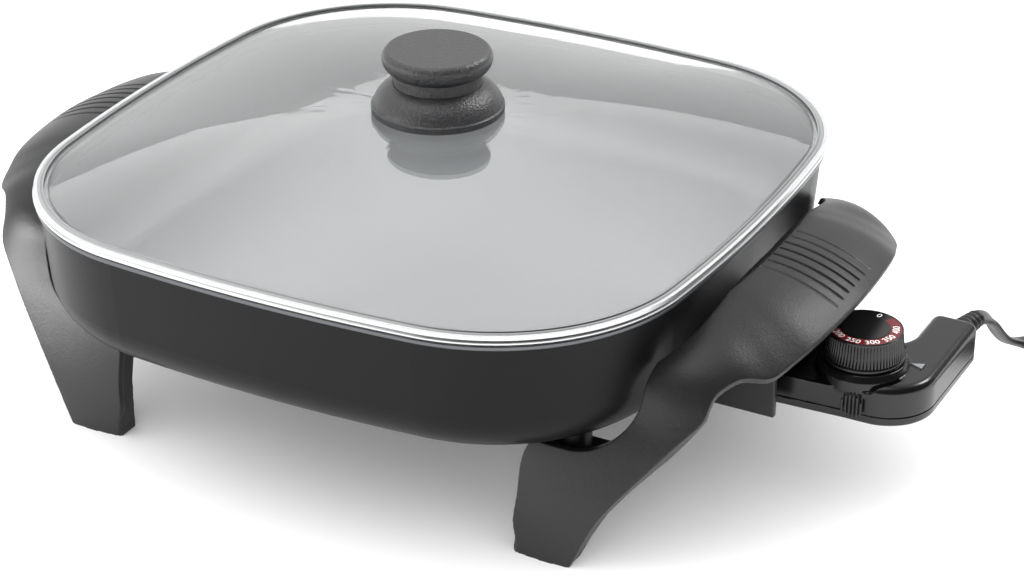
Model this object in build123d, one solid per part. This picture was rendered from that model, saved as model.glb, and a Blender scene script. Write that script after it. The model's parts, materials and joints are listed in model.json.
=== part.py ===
"""Square electric skillet with a lift-off glass lid and a plug-in temperature control.

Millimetres, +Z up. The skillet stands on z = 0 with its control on the +X side. The pan's centre is the
working zero of every sub-part; on export everything is moved so that the origin lies under the middle
of the whole appliance.
"""
import os
from math import acos, cos, degrees, pi, radians, sin, sqrt, tan

from build123d import *

LAP = 0.5  # how far solids that are fused, and cutters, run past each other
TIP_ROUND = 0.6  # rounding of a rod's tip, as a share of its radius

# ---- Pan: cast aluminium, gently bowed sides and round corners
PAN_HALF = 154.4  # middle of a side to the pan's centre, over the lip
SIDE_BOW = 792.0  # radius of the bowed sides, at the lip
CORNER_RADIUS = 88.0  # radius of the corners in plan, at the lip
RIM_Z = 111.0  # top of the lip above the table
LIP_THICK = 2.3
LIP_EDGE = 0.7  # rounding of the lip's two edges
LIP_ROOT = 0.6  # rounding between lip and wall
LIP_OUT = 1.8  # how far the lip stands out from the wall
WALL = 2.8
WALL_DRAFT = 4.5  # degrees from upright
UNDERSIDE_Z = 55.5
FLOOR = 3.4
BOTTOM_RADIUS = 20.0  # outside, where the wall turns into the floor
LEDGE_DROP = 8.0  # the inner ledge below the lip's top
LEDGE_STEP = 1.2
FLOOR_EDGE = 45.0  # from the lip's edge in to where floor and wall are joined
FLOOR_Z = UNDERSIDE_Z + FLOOR

# ---- Heating element under the pan
ELEMENT_RADIUS = 3.3
ELEMENT_DROP = 4.0  # from the pan's underside down to the middle of element, pins, sockets and probe
ELEMENT_IN = 62.4  # from the pan's lip in to the element's square loop
ELEMENT_BEND = 16.0  # radius of each bend
ELEMENT_LEAD = 28.0  # straight end of each lead
ELEMENT_SLANT = 52.0  # from the loop's corner to where the slanting lead begins
TERMINAL_PITCH = 26.0  # between the two pins
RIDGE_HALF = 6.0  # half the width of the cast ridge that holds the element
RIDGE_BELOW = 1.3  # how far the ridge reaches below the element's middle
RIDGE_PAST_FLOOR = 20.0  # how far the ridge follows the leads past the floor's edge
TERMINAL_IN = 13.4  # from the pan's lip in to where the element ends and its pins begin
PIN_RADIUS = 2.4
PIN_LENGTH = 32.0
INSULATOR_RADIUS = 4.6
INSULATOR_LENGTH = 9.0
INSULATOR_EDGE = 0.7
PROBE_RADIUS = 3.0
PROBE_BORE_GAP = 0.5
PROBE_IN = 56.4  # from the pan's lip in to the probe's tip
PROBE_TIP_GAP = 1.0
PROBE_BOSS_HALF = 7.0
PROBE_BOSS_WALL = 6.0  # of the boss, behind the probe's tip
PROBE_BOSS_IN = 20.4  # from the pan's lip in to the boss's open end
TERMINAL_Z = UNDERSIDE_Z - ELEMENT_DROP
ELEMENT_HALF = PAN_HALF - ELEMENT_IN
ELEMENT_END_X = PAN_HALF - TERMINAL_IN
PROBE_TIP_X = PAN_HALF - PROBE_IN

# ---- Handle frames
FOOT_IN = 56.8  # from the pan's lip in to the foot's inner edge
FOOT_WIDTH = 25.9
FOOT_FACE_IN = 38.8  # from the pan's lip in to the foot's outer face
FOOT_DEPTH = 11.2
FOOT_SOLE = 3.0
GRIP_IN = 8.5  # from the pan's lip out to the grip's inner edge
GRIP_TRIM = 3.8  # how far the skin runs in past that edge before it is trimmed
GRIP_OUT = 48.2  # from the pan's lip out to the grip's outer edge
GRIP_TOP_Z = 104.8
GRIP_DROP = 12.8  # fall of the grip from its inner to its outer edge
SHELL = 3.2  # thickness of the moulding
CROWN = 3.4  # how far the grip's skin bulges between its edges
LEG_TOP_DROP = 5.0  # from the pan's underside down to the leg's upper edge
LEG_TOP_IN = 36.0  # from the pan's lip in to where that edge turns up
LEG_HOLLOW = 28.0  # radius of the hollowed upper edge of the leg
SHELF_DROP = 12.5  # from the pan's underside down to the underside of the leg's shelf
SHELF_THICK = 3.5
SHELF_HALF = 12.2  # half the shelf's length, about its screw
SHELF_BEHIND = 10.0  # from the screw to the shelf's back edge
SHELF_FRONT = 8.6  # from the foot's outer face to the shelf's front edge, inside the skin
FLANGE_INSET = 0.3  # the flanges stand this far inside the skin's edges
FLANGE_FADED = 2.6  # depth at which the outer flange has faded into the skin
GROOVES = 7
GROOVE_PITCH = 6.17
GROOVE_WIDTH = 1.3
GROOVE_DEPTH = 1.2
GROOVE_IN = 3.8  # from the grip's inner edge to the grooves
GROOVE_OUT = 4.9  # from the grooves to the grip's outer edge
GRIP_REACH_X = PAN_HALF + GRIP_OUT
FOOT_IN_X = PAN_HALF - FOOT_IN
FOOT_Y = PAN_HALF - FOOT_FACE_IN
LEG_TOP_Z = UNDERSIDE_Z - LEG_TOP_DROP
LEG_TOP_END_X = PAN_HALF - LEG_TOP_IN
SHELF_Z = UNDERSIDE_Z - SHELF_DROP

# ---- Screws that hold the legs and the guard
BOSS_IN_X = 36.9  # from the pan's lip in to a leg's screw, along X
BOSS_IN_Y = 58.4  # the same along Y
BOSS_RADIUS = 6.5
SCREW_RADIUS = 2.0
SCREW_GAP = 0.15
SCREW_HEAD_RADIUS = 3.8
SCREW_HEAD = 2.4
SCREW_HEAD_ROUND = 0.4  # rounding of a head's edge, as a share of the head
SCREW_HOLE = 7.0  # depth of the threaded hole in a boss
SCREW_TIP_GAP = 0.5  # from a screw's tip to the end of its hole
WASHER_RADIUS = 4.8
WASHER = 0.9
BOSS_X = PAN_HALF - BOSS_IN_X
BOSS_Y = PAN_HALF - BOSS_IN_Y

# ---- Guard round the terminals
GUARD_HALF = 32.3
GUARD_OUT = 23.0  # from the pan's lip out to the guard's open end
GUARD_IN = 36.4  # from the pan's lip in to the guard's back
GUARD_WALL = 3.0
GUARD_BELOW = 9.0  # from the terminals' middle down to the guard's lower edge
GUARD_ABOVE = 15.0  # and up to its top
GUARD_PAN_GAP = 1.0
GUARD_TAB = 9.4
GUARD_TAB_THICK = 3.0
GUARD_SCREW_IN = 29.4  # from the pan's lip in to the guard's screws
GUARD_SCREW_SIDE = 7.3  # from the guard's outer side in to its screws
GUARD_SCREW_HOLE = 3.5
GUARD_BOSS_RADIUS = 4.0
GUARD_BOSS_DROP = 2.0
GUARD_END_X = PAN_HALF + GUARD_OUT
GUARD_BACK_X = PAN_HALF - GUARD_IN
GUARD_BOTTOM_Z = TERMINAL_Z - GUARD_BELOW
GUARD_TOP_Z = TERMINAL_Z + GUARD_ABOVE
GUARD_SCREW_X = PAN_HALF - GUARD_SCREW_IN
GUARD_SCREW_Y = GUARD_HALF - GUARD_SCREW_SIDE
GUARD_TAB_Z = UNDERSIDE_Z - GUARD_BOSS_DROP - GUARD_TAB_THICK

# ---- Lid
LID_GAP = 0.5  # between the pan's lip and the lid's band
LID_OVER = 0.6  # how far the band stands out past the lip
BAND_SHEET = 0.5
BAND_WIDTH = 5.0
BAND_SKIRT = 3.6
BAND_SKIRT_GAP = 0.5
GLASS = 3.0
GLASS_FIT = 0.2  # between the glass's edge and the band
DOME_START = 6.2  # flat edge of the glass before the dome begins
DOME_FLAT = 0.205  # share of the dome's width that is flat, under the knob
DOME_POWER = 1.9
DOME_STEPS = 5
DOME_RISE = 19.3  # from the glass's flat edge up to its top under the knob
KNOB_BASE_RADIUS = 29.4
KNOB_BASE_LIP = 3.6
KNOB_BASE_EDGE = 0.6
KNOB_BASE = 12.9
KNOB_FLARE = (0.885, 0.68)  # a point on the flare, as shares of the base's radius and height
KNOB_ROOF = 0.62  # radius of the hollow's flat roof, as a share of the hollow
KNOB_NECK_RADIUS = 19.4
KNOB_NECK = 5.2
KNOB_BULGE_RADIUS = 24.4
KNOB_TOP_RADIUS = 22.1
KNOB_HEIGHT = 15.5  # from the base to the flat top
KNOB_BULGE_DROP = 3.5  # from the flat top down to the widest place
KNOB_WALL = 3.2
KNOB_BORE = 2.1
LID_SCREW_LENGTH = 26.0
LID_WASHER_RADIUS = 9.0
LID_WASHER = 1.0
GASKET = 1.5
GASKET_RADIUS = 8.4
BAND_Z = RIM_Z + LID_GAP
GLASS_TOP_Z = BAND_Z + BAND_SHEET + GLASS
KNOB_SEAT_Z = GLASS_TOP_Z + DOME_RISE
KNOB_Z = KNOB_SEAT_Z + KNOB_BASE

# ---- Temperature control
NOSE_OUT = 3.6  # from the pan's lip out to the housing's nose, inside the guard
SNOUT_HALF = 20.6
BODY_FRONT_Y = -18.6
BODY_LENGTH = 77.0
BODY_CORNER = 22.0
TAIL_Y = 57.0
TAIL_WIDTH = 20.5
TAIL_HOLLOW = 14.0
TAIL_CORNER = 4.6
HOUSING_BELOW = 9.0  # from the terminals' middle down to the housing's underside
HOUSING_BASE = 4.1
HOUSING_HEIGHT = 18.1
HOUSING_WALL = 2.0
HOUSING_EDGE = 3.6
HOUSING_FOOT_EDGE = 1.2
DIAL_FROM_NOSE = 45.7
DECK_DROP = 3.6  # from the housing's top down to the lower deck of the snout, round the dial's collar
DECK_WALL = 1.6
DECK_PAST_DIAL = 10.9  # from the dial's axis to the step up from the lower deck
DECK_RADIUS = 21.3  # of the lower deck round the dial
DECK_END_Y = -7.0  # where the lower deck ends beside the dial
COLLAR_RADIUS = 19.6
COLLAR_TOP_RADIUS = 18.2
COLLAR = 2.9
DIAL_GAP = 0.5
DIAL_RADIUS = 17.4
DIAL_TOP_RADIUS = 16.0
DIAL_HEIGHT = 13.1
DIAL_WALL = 2.2
DIAL_FOOT = 1.5
DIAL_EDGE = 0.5
DIAL_FACE_RADIUS = 15.2
DIAL_DISC_RADIUS = 10.6
DIAL_INLAY = 0.6
RING_BELOW = 0.1  # the ring lies this much under the dial's rim
DISC_PROUD = 0.1  # and the disc stands this much over it
DISC_EDGE = 0.15
HUB_WALL = 2.4
HUB_RAISE = 1.0
SHAFT_RADIUS = 3.0
SHAFT_RUNNING_GAP = 0.06
SHAFT_DEPTH = 7.0  # from the housing's top down to the shaft's tip
SOCKET_WALL = 0.6
SOCKET_PIN_GAP = 0.4
SOCKET_LENGTH = 19.0
SOCKET_END = 1.0
SOCKET_GAP = 0.5  # from the nose wall to the sockets
PIN_HOLE_GAP = 0.7
PROBE_HOLE_GAP = 0.3
BLOCK_GAP = 2.5  # from the nose wall to the block
BLOCK_LENGTH = 24.0
BLOCK_HALF = 17.2
BLOCK_HEIGHT = 10.6
BLADE_WIDTH = 7.0
BLADE = 0.8
BLADE_PAST_DIAL = 9.3
SHAFT_BLADE_GAP = 0.5
CONTACT_RADIUS = 1.9
CONTACT = 1.2
CONTACT_GAP = 0.8
CONTACT_PAST_DIAL = 2.3
POST_RADIUS = 2.9
NOSE_POST = (3.6, 6.0)  # clear of the block's end, and in from the snout's side
CORNER_POST = (8.5, 16.2)  # in from the housing's end and from its front
TAIL_POST = (10.5, 19.0)  # in from the housing's end and from the tail's end
CONTROL_SCREW_RADIUS = 1.3
CONTROL_SCREW_HEAD = 2.5
CONTROL_SCREW_HEAD_THICK = 1.5
CONTROL_SCREW_GAP = 0.2
LENS_PAST_DIAL = 18.5
LENS_Y = 7.4
LENS_LENGTH = 5.4
LENS_HALF = 2.2
LENS_DEPTH = 2.6
LENS_PROUD = 0.5
LAMP_RADIUS = 1.7
LAMP_LENGTH = 8.0
NOSE_X = PAN_HALF + NOSE_OUT
DIAL_X = NOSE_X + DIAL_FROM_NOSE
BODY_END_X = NOSE_X + BODY_LENGTH
BLOCK_X = NOSE_X + HOUSING_WALL + BLOCK_GAP
HOUSING_BOTTOM_Z = TERMINAL_Z - HOUSING_BELOW
HOUSING_SPLIT_Z = HOUSING_BOTTOM_Z + HOUSING_BASE
HOUSING_TOP_Z = HOUSING_BOTTOM_Z + HOUSING_HEIGHT
ROOF_Z = HOUSING_TOP_Z - HOUSING_WALL
DECK_Z = HOUSING_TOP_Z - DECK_DROP
DECK_ROOF_Z = DECK_Z - DECK_WALL
POST_SPLIT_Z = (HOUSING_SPLIT_Z + DECK_ROOF_Z) / 2
SHAFT_TIP_Z = HOUSING_TOP_Z - SHAFT_DEPTH
COLLAR_Z = HOUSING_TOP_Z + COLLAR
DIAL_Z = COLLAR_Z + DIAL_GAP
POSTS = (
    (BLOCK_X + BLOCK_LENGTH + POST_RADIUS + NOSE_POST[0], SNOUT_HALF - NOSE_POST[1]),
    (BODY_END_X - CORNER_POST[0], BODY_FRONT_Y + CORNER_POST[1]),
    (BODY_END_X - TAIL_POST[0], TAIL_Y - TAIL_POST[1]),
)
CENTRE_X = (BODY_END_X - GRIP_REACH_X) / 2  # middle of the appliance from the pan's centre

# ---- Cord: flat two-core lead. Its tube is as thick as the lead is wide. Its route starts at the relief's
# tip. X and Y of the route, the coil and the plug are from the place where the relief leaves the housing.
CORD_WIDTH = 6.6
EXIT_IN = 7.6  # from the housing's end in to the relief's middle
EXIT_DROP = 5.3  # from the housing's top down to it
RELIEF_RADIUS = 5.2
RELIEF_TIP_RADIUS = 4.4
RELIEF_RIBS = 4
RELIEF_RIB = 0.66  # width of a rib, as a share of the ribs' pitch
RELIEF_RIB_EDGE = 0.4
RELIEF_FLANGE = 1.6
RELIEF_FLANGE_RADIUS = 4.5
RELIEF_NECK_RADIUS = 3.9
RELIEF_ROOM = 0.9  # the relief slants through the wall, so its flanges stand off by this much
RELIEF_SLEEVE = 3.4  # tip of the relief, bent along with the cord
CORD_ROUTE = [
    (2.2, 14.0, 54.6),
    (2.8, 27.0, 49.3),
    (2.9, 41.0, 35.4),
    (3.2, 55.0, 23.8),
    (4.0, 70.0, 15.4),
    (6.0, 84.0, 8.8),
    (9.8, 96.0, 4.9),
    (16.1, 107.0, 4.0),
]
COIL_CENTRE = (46.6, 104.0)
COIL_MIDDLE_RADIUS = 33.0
COIL_BUNDLE_WIDTH = 9.4
COIL_BUNDLE_HEIGHT = 13.8
COIL_EDGE = 1.9
PLUG_PLACE = (81.6, 87.0)  # where the lead goes into the plug
PLUG_TAIL = 13.0
PLUG_TAIL_RADIUS = 4.6
PLUG_BODY = 29.0
PLUG_WIDTH = 23.0
PLUG_THICK = 16.0
PLUG_EDGE = 3.0
PLUG_END_EDGE = 1.8
PRONG_LENGTH = 17.0
PRONG_WIDTH = 6.35
PRONG_THICK = 1.5
PRONG_PITCH = 12.7
PRONG_ROOT = 6.0  # how far a prong reaches into the plug's body
EXIT = (BODY_END_X - EXIT_IN, TAIL_Y, HOUSING_TOP_Z - EXIT_DROP)
PLUG_X = EXIT[0] + PLUG_PLACE[0]
PLUG_FRONT_Y = EXIT[1] + PLUG_PLACE[1] - PLUG_TAIL - PLUG_BODY

SIDES = (1, -1)


def outline(inset=0.0, size=1.0):
    """Closed wire of tangent arcs: the pan's plan outline, `inset` inside the lip and scaled by `size`."""
    half, bow, corner = ((v - inset) * size for v in (PAN_HALF, SIDE_BOW, CORNER_RADIUS))
    turn = degrees(acos((bow - half) / (bow - corner) / sqrt(2))) - 45
    middle = (bow - corner) * sin(radians(turn))
    edges = []
    for quarter in range(4):
        spin = Rot(0, 0, 90 * quarter)
        edges.append(spin * CenterArc((half - bow, 0), bow, 0, turn))
        edges.append(spin * CenterArc((middle, middle), corner, turn, 90 - 2 * turn))
        edges.append(spin * CenterArc((0, half - bow), bow, 90 - turn, turn))
    return Wire(edges)


def plate(inset, low, high):
    """Flat slab with the pan's outline between two heights."""
    return extrude(Pos(0, 0, low) * Face(outline(inset)), high - low)


def profile(*points):
    """Face in the XZ plane through the given (x, z) points."""
    return Plane.XZ * make_face(Polyline(*points, close=True))


def rounded(face, *corners):
    """Round corners of a flat face: each is (x, y, radius) in the face's own plane."""
    for x, y, radius in corners:
        face = fillet(face.vertices().sort_by_distance(Vector(x, y, 0))[0], radius)
    return face


def ring(section):
    """Sweep an XZ section once round the pan's outline."""
    return sweep(section, path=outline())


def rod(radius, start, length, axis="Z"):
    """Cylinder from `start` along an axis."""
    turned = {"X": Rot(0, 90, 0), "Y": Rot(-90, 0, 0), "Z": Rot(0, 0, 0)}[axis]
    return Pos(*start) * turned * Cylinder(radius, length, align=(Align.CENTER, Align.CENTER, Align.MIN))


def block(low, high):
    """Box between two corners."""
    size = [b - a for a, b in zip(low, high)]
    return Pos(*low) * Box(*size, align=(Align.MIN, Align.MIN, Align.MIN))


def lathe(*points):
    """Solid of revolution about Z from (radius, z) points."""
    return revolve(profile(*points), Axis.Z)


def joined(solids):
    """One solid from overlapping ones."""
    return solids[0] + solids[1:]


# ---- Pan ---------------------------------------------------------------------------------------

def wall_x(z, inside=0.0):
    """X of the wall's outer face at height z, or of a face `inside` it."""
    lip_under = RIM_Z - LIP_THICK
    slope = radians(WALL_DRAFT)
    return PAN_HALF - LIP_OUT - (lip_under - z) * tan(slope) - inside / cos(slope)


def wall_section():
    """Section of the wall: lip, ledge, drafted wall and the radius into the floor."""
    edge = PAN_HALF - FLOOR_EDGE
    lip_under = RIM_Z - LIP_THICK
    ledge_z = RIM_Z - LEDGE_DROP
    top_in = wall_x(lip_under, WALL - LEDGE_STEP)
    ledge_in = wall_x(ledge_z, WALL)
    points = [
        (edge, UNDERSIDE_Z),
        (wall_x(UNDERSIDE_Z), UNDERSIDE_Z),
        (wall_x(lip_under), lip_under),
        (PAN_HALF, lip_under),
        (PAN_HALF, RIM_Z),
        (top_in, RIM_Z),
        (wall_x(ledge_z, WALL - LEDGE_STEP), ledge_z),
        (ledge_in, ledge_z),
        (wall_x(FLOOR_Z, WALL), FLOOR_Z),
        (edge, FLOOR_Z),
    ]
    face = make_face(Polyline(*points, close=True))
    face = rounded(
        face,
        (*points[1], BOTTOM_RADIUS),
        (*points[8], BOTTOM_RADIUS - WALL),
        (*points[3], LIP_EDGE),
        (*points[4], LIP_EDGE),
        (*points[2], LIP_ROOT),
    )
    return Plane.XZ * face


def element_path():
    """One open square loop with round bends; its two leads slant out to the terminals in +X."""
    y, h = TERMINAL_PITCH / 2, ELEMENT_HALF
    lead_x = ELEMENT_END_X - ELEMENT_LEAD
    points = [(ELEMENT_END_X, y), (lead_x, y), (h, h - ELEMENT_SLANT), (h, h), (-h, h)]
    points += [(x, -y) for x, y in reversed(points)]
    line = FilletPolyline(*points, radius=ELEMENT_BEND)
    return Pos(0, 0, TERMINAL_Z) * Wire(line.edges())


def along_element(section):
    """Sweep a flat section along the element's route."""
    path = element_path()
    return sweep(Plane(origin=path @ 0, z_dir=path % 0) * section, path=path)


def corner_bosses(radius, low, high):
    """One post at each of the four places where a leg is screwed to the pan."""
    return [rod(radius, (sx * BOSS_X, sy * BOSS_Y, low), high - low) for sx in SIDES for sy in SIDES]


def guard_posts(radius, low, high):
    """One post at each of the two screws of the terminal guard."""
    return [rod(radius, (GUARD_SCREW_X, sy * GUARD_SCREW_Y, low), high - low) for sy in SIDES]


def make_pan():
    """Wall, floor, ridge for the element, probe boss and screw bosses in one casting."""
    shelf_top = SHELF_Z + SHELF_THICK
    inside_floor = UNDERSIDE_Z + FLOOR / 2
    ridge_low = TERMINAL_Z - RIDGE_BELOW
    ridge = along_element(Rectangle(2 * RIDGE_HALF, 2 * RIDGE_HALF))
    reach = PAN_HALF - FLOOR_EDGE + RIDGE_PAST_FLOOR
    ridge &= block((-PAN_HALF, -PAN_HALF, ridge_low), (reach, PAN_HALF, inside_floor))
    probe = block(
        (PROBE_TIP_X - PROBE_BOSS_WALL, -PROBE_BOSS_HALF, TERMINAL_Z - PROBE_BOSS_HALF),
        (PAN_HALF - PROBE_BOSS_IN, PROBE_BOSS_HALF, inside_floor),
    )
    solids = [ring(wall_section()), plate(FLOOR_EDGE - LAP, UNDERSIDE_Z, FLOOR_Z), ridge, probe]
    solids += corner_bosses(BOSS_RADIUS, shelf_top, inside_floor)
    guard_seat = UNDERSIDE_Z - GUARD_BOSS_DROP
    solids += guard_posts(GUARD_BOSS_RADIUS, guard_seat, inside_floor)
    bore_start = (PROBE_TIP_X - PROBE_TIP_GAP, 0, TERMINAL_Z)
    holes = [along_element(Circle(ELEMENT_RADIUS))]
    holes.append(rod(PROBE_RADIUS + PROBE_BORE_GAP, bore_start, PAN_HALF, "X"))
    holes += corner_bosses(SCREW_RADIUS, shelf_top, shelf_top + SCREW_HOLE)
    holes += guard_posts(SCREW_RADIUS, guard_seat, guard_seat + GUARD_SCREW_HOLE)
    return joined(solids) - holes


def make_element():
    """Tubular heating element."""
    return along_element(Circle(ELEMENT_RADIUS))


def make_pins():
    """The two terminal pins, with rounded tips."""
    pins = []
    for sy in SIDES:
        start = (ELEMENT_END_X, sy * TERMINAL_PITCH / 2, TERMINAL_Z)
        pin = rod(PIN_RADIUS, start, PIN_LENGTH, "X")
        pins.append(fillet(pin.edges().group_by(Axis.X)[-1], PIN_RADIUS * TIP_ROUND))
    return pins


def make_insulators():
    """Ceramic beads round the pins, against the element's ends."""
    beads = []
    for sy in SIDES:
        start = (ELEMENT_END_X, sy * TERMINAL_PITCH / 2, TERMINAL_Z)
        bead = rod(INSULATOR_RADIUS, start, INSULATOR_LENGTH, "X")
        bead = chamfer(bead.edges(), INSULATOR_EDGE)
        beads.append(bead - rod(PIN_RADIUS, start, INSULATOR_LENGTH, "X"))
    return beads


# ---- Screws ------------------------------------------------------------------------------------

def screw(radius, head_radius, head, length, at):
    """Pan-head screw standing on its head: the head's underside is at `at`, the thread goes up."""
    x, y, z = at
    top = rod(head_radius, (x, y, z - head), head)
    top = fillet(top.edges().group_by(Axis.Z)[0], head * SCREW_HEAD_ROUND)
    return top + rod(radius, at, length)


def washer(radius, thick, at):
    """Flat washer for a screw, with its underside at `at`."""
    return rod(radius, at, thick) - rod(SCREW_RADIUS + SCREW_GAP, at, thick)


def leg_screws():
    """Four screws up through the legs' shelves into the pan."""
    length = WASHER + SHELF_THICK + SCREW_HOLE - SCREW_TIP_GAP
    seat = SHELF_Z - WASHER
    places = [(sx * BOSS_X, sy * BOSS_Y, seat) for sx in SIDES for sy in SIDES]
    return [screw(SCREW_RADIUS, SCREW_HEAD_RADIUS, SCREW_HEAD, length, p) for p in places]


def leg_washers():
    """Washers between those screws' heads and the shelves."""
    places = [(sx * BOSS_X, sy * BOSS_Y, SHELF_Z - WASHER) for sx in SIDES for sy in SIDES]
    return [washer(WASHER_RADIUS, WASHER, p) for p in places]


def guard_screws():
    """Two screws that hold the guard to the pan."""
    length = GUARD_TAB_THICK + GUARD_SCREW_HOLE - SCREW_TIP_GAP
    places = [(GUARD_SCREW_X, sy * GUARD_SCREW_Y, GUARD_TAB_Z) for sy in SIDES]
    return [screw(SCREW_RADIUS, SCREW_HEAD_RADIUS, SCREW_HEAD, length, p) for p in places]


# ---- Handle frames -----------------------------------------------------------------------------

# Stations along half a frame, from the foot to the middle of the grip. Each gives how far its inner and
# its outer edge have come, as shares: out in X, out from the middle in Y and up in Z. Last is the share of
# the grip's crown.
STATIONS = [
    ((0.000, 1.000, -0.020), (0.000, 1.000, -0.020), 0.24),
    ((0.017, 0.980, 0.239), (0.158, 0.986, 0.272), 0.30),
    ((0.070, 0.925, 0.477), (0.379, 0.917, 0.522), 0.30),
    ((0.456, 0.820, 0.670), (0.512, 0.865, 0.663), 0.40),
    ((0.672, 0.795, 0.775), (0.617, 0.813, 0.772), 0.70),
    ((0.829, 0.729, 0.845), (0.645, 0.761, 0.873), 0.94),
    ((0.947, 0.605, 0.905), (0.733, 0.675, 0.927), 0.94),
    ((0.987, 0.471, 0.950), (0.847, 0.597, 0.908), 1.00),
    ((0.998, 0.358, 0.978), (0.910, 0.484, 0.940), 1.00),
    ((1.000, 0.262, 0.993), (0.965, 0.329, 0.978), 1.00),
    ((1.000, 0.000, 1.003), (1.000, 0.000, 1.000), 1.00),
]
LEG_ROWS = 5  # rows from the foot up where both flanges have their full depth
FADE_ROWS = 7  # rows over which the outer flange then fades out


def station_edges(side):
    """Inner and outer edge points of the stations on the front (-1) or rear (+1) half, and the crowns."""
    foot_out = FOOT_IN_X + FOOT_WIDTH
    inner_run = PAN_HALF + GRIP_IN - GRIP_TRIM - FOOT_IN_X
    outer_run = GRIP_REACH_X - foot_out
    outer_top = GRIP_TOP_Z - GRIP_DROP
    inner, outer, crowns = [], [], []
    for (ax, ay, az), (bx, by, bz), crown in STATIONS:
        inner.append(Vector(FOOT_IN_X + ax * inner_run, side * ay * FOOT_Y, az * GRIP_TOP_Z))
        outer.append(Vector(foot_out + bx * outer_run, side * by * FOOT_Y, bz * outer_top))
        crowns.append(Vector(crown * CROWN, 0, 0))
    return inner, outer, crowns


def smoothed(points):
    """The same points with one more between each two, on a smooth curve through all of them."""
    ends = [points[0] * 2 - points[1], *points, points[-1] * 2 - points[-2]]
    found = []
    for p, q, r, s in zip(ends, ends[1:], ends[2:], ends[3:]):
        found += [q, ((q + r) * 9 - p - s) * (1 / 16)]
    return found + [points[-1]]


def rows():
    """Rows from the front foot over the grip to the rear foot: inner edge, outer edge, normal, crown."""
    whole = [smoothed(front + rear[-2::-1]) for front, rear in zip(station_edges(-1), station_edges(1))]
    inner, outer, crowns = whole
    middles = [(a + b) * 0.5 for a, b in zip(inner, outer)]
    last = len(middles) - 1
    found = []
    for i, (a, b, crown) in enumerate(zip(inner, outer, crowns)):
        ahead = middles[min(i + 1, last)] - middles[max(i - 1, 0)]
        found.append((a, b, (b - a).cross(ahead).normalized(), crown.X))
    return found


def skin_section(inner, outer, normal, crown, depth=0.0, thick=SHELL):
    """Face across the skin: two crowned arcs, `thick` apart."""
    points = [inner, (inner + outer) * 0.5 + normal * crown, outer]
    near = [p - normal * depth for p in points]
    far = [p - normal * (depth + thick) for p in points]
    edges = [ThreePointArc(*near), Line(near[2], far[2]), ThreePointArc(*far[::-1]), Line(far[0], near[0])]
    return Face(Wire(edges))


def flange_section(edge, across, normal, depth):
    """Face across a flange: from inside the skin back to `depth`."""
    near = edge + across * FLANGE_INSET - normal * (SHELL / 2)
    far = edge + across * FLANGE_INSET - normal * depth
    wide = across * SHELL
    return Face(Wire(Polyline(near, near + wide, far + wide, far, close=True).edges()))


def leg_flanges(line):
    """Flanges along both edges of one leg; the outer one fades out towards the grip."""
    inner, outer = [], []
    for i, (a, b, normal, _) in enumerate(line[: LEG_ROWS + FADE_ROWS]):
        across = (b - a).normalized()
        share = min(1, 1 - (i - LEG_ROWS + 1) / FADE_ROWS)
        depth = FLANGE_FADED + (FOOT_DEPTH - FLANGE_FADED) * share
        outer.append(flange_section(b, across * -1, normal, depth))
        inner.append(flange_section(a, across, normal, FOOT_DEPTH))
    return [loft(inner[: LEG_ROWS + 1], ruled=True), loft(outer, ruled=True)]


def pan_side_cut():
    """What is cut from the frame so that it clears the pan: flat over the leg, then up beside the wall."""
    low = (LEG_TOP_END_X, LEG_TOP_Z)
    turn = (LEG_TOP_END_X + LEG_HOLLOW, LEG_TOP_Z + LEG_HOLLOW)
    top = (PAN_HALF + GRIP_IN, GRIP_TOP_Z)
    past = 2 * GRIP_TOP_Z
    centre = (LEG_TOP_END_X, LEG_TOP_Z + LEG_HOLLOW)
    edges = [
        Line((0, LEG_TOP_Z), low),
        CenterArc(centre, LEG_HOLLOW, -90, 90),
        TangentArc(turn, top, tangent=(0, 1)),
        Polyline(top, (top[0], past), (0, past), (0, LEG_TOP_Z)),
    ]
    return extrude(Plane.XZ * make_face(edges), 2 * FOOT_Y, both=True)


def grip_grooves():
    """Cutters for the shallow grooves across the grip."""
    line = rows()
    inner, outer, normal, crown = line[len(line) // 2]
    section = skin_section(inner, outer, normal, crown, depth=-SHELL, thick=SHELL + GROOVE_DEPTH)
    cutter = extrude(section, GROOVE_WIDTH / 2, both=True)
    low = (PAN_HALF + GRIP_IN - GRIP_TRIM + GROOVE_IN, -GROOVE_PITCH, 0)
    cutter &= block(low, (outer.X - GROOVE_OUT, GROOVE_PITCH, 2 * GRIP_TOP_Z))
    places = [(k - (GROOVES - 1) / 2) * GROOVE_PITCH for k in range(GROOVES)]
    return [Pos(0, y, 0) * cutter for y in places]


def leg_base(side):
    """Sole of one foot and the shelf that its screw goes through."""
    low = FOOT_IN_X + FLANGE_INSET
    high = FOOT_IN_X + FOOT_WIDTH - FLANGE_INSET
    near, far = sorted((side * (FOOT_Y - SHELL / 2), side * (FOOT_Y - FOOT_DEPTH)))
    sole = block((low, near, -LAP), (high, far, FOOT_SOLE))
    near, far = sorted((side * (FOOT_Y - SHELF_FRONT), side * (BOSS_Y - SHELF_BEHIND)))
    shelf = block((BOSS_X - SHELF_HALF, near, SHELF_Z), (BOSS_X + SHELF_HALF, far, SHELF_Z + SHELF_THICK))
    return [sole, shelf]


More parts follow.
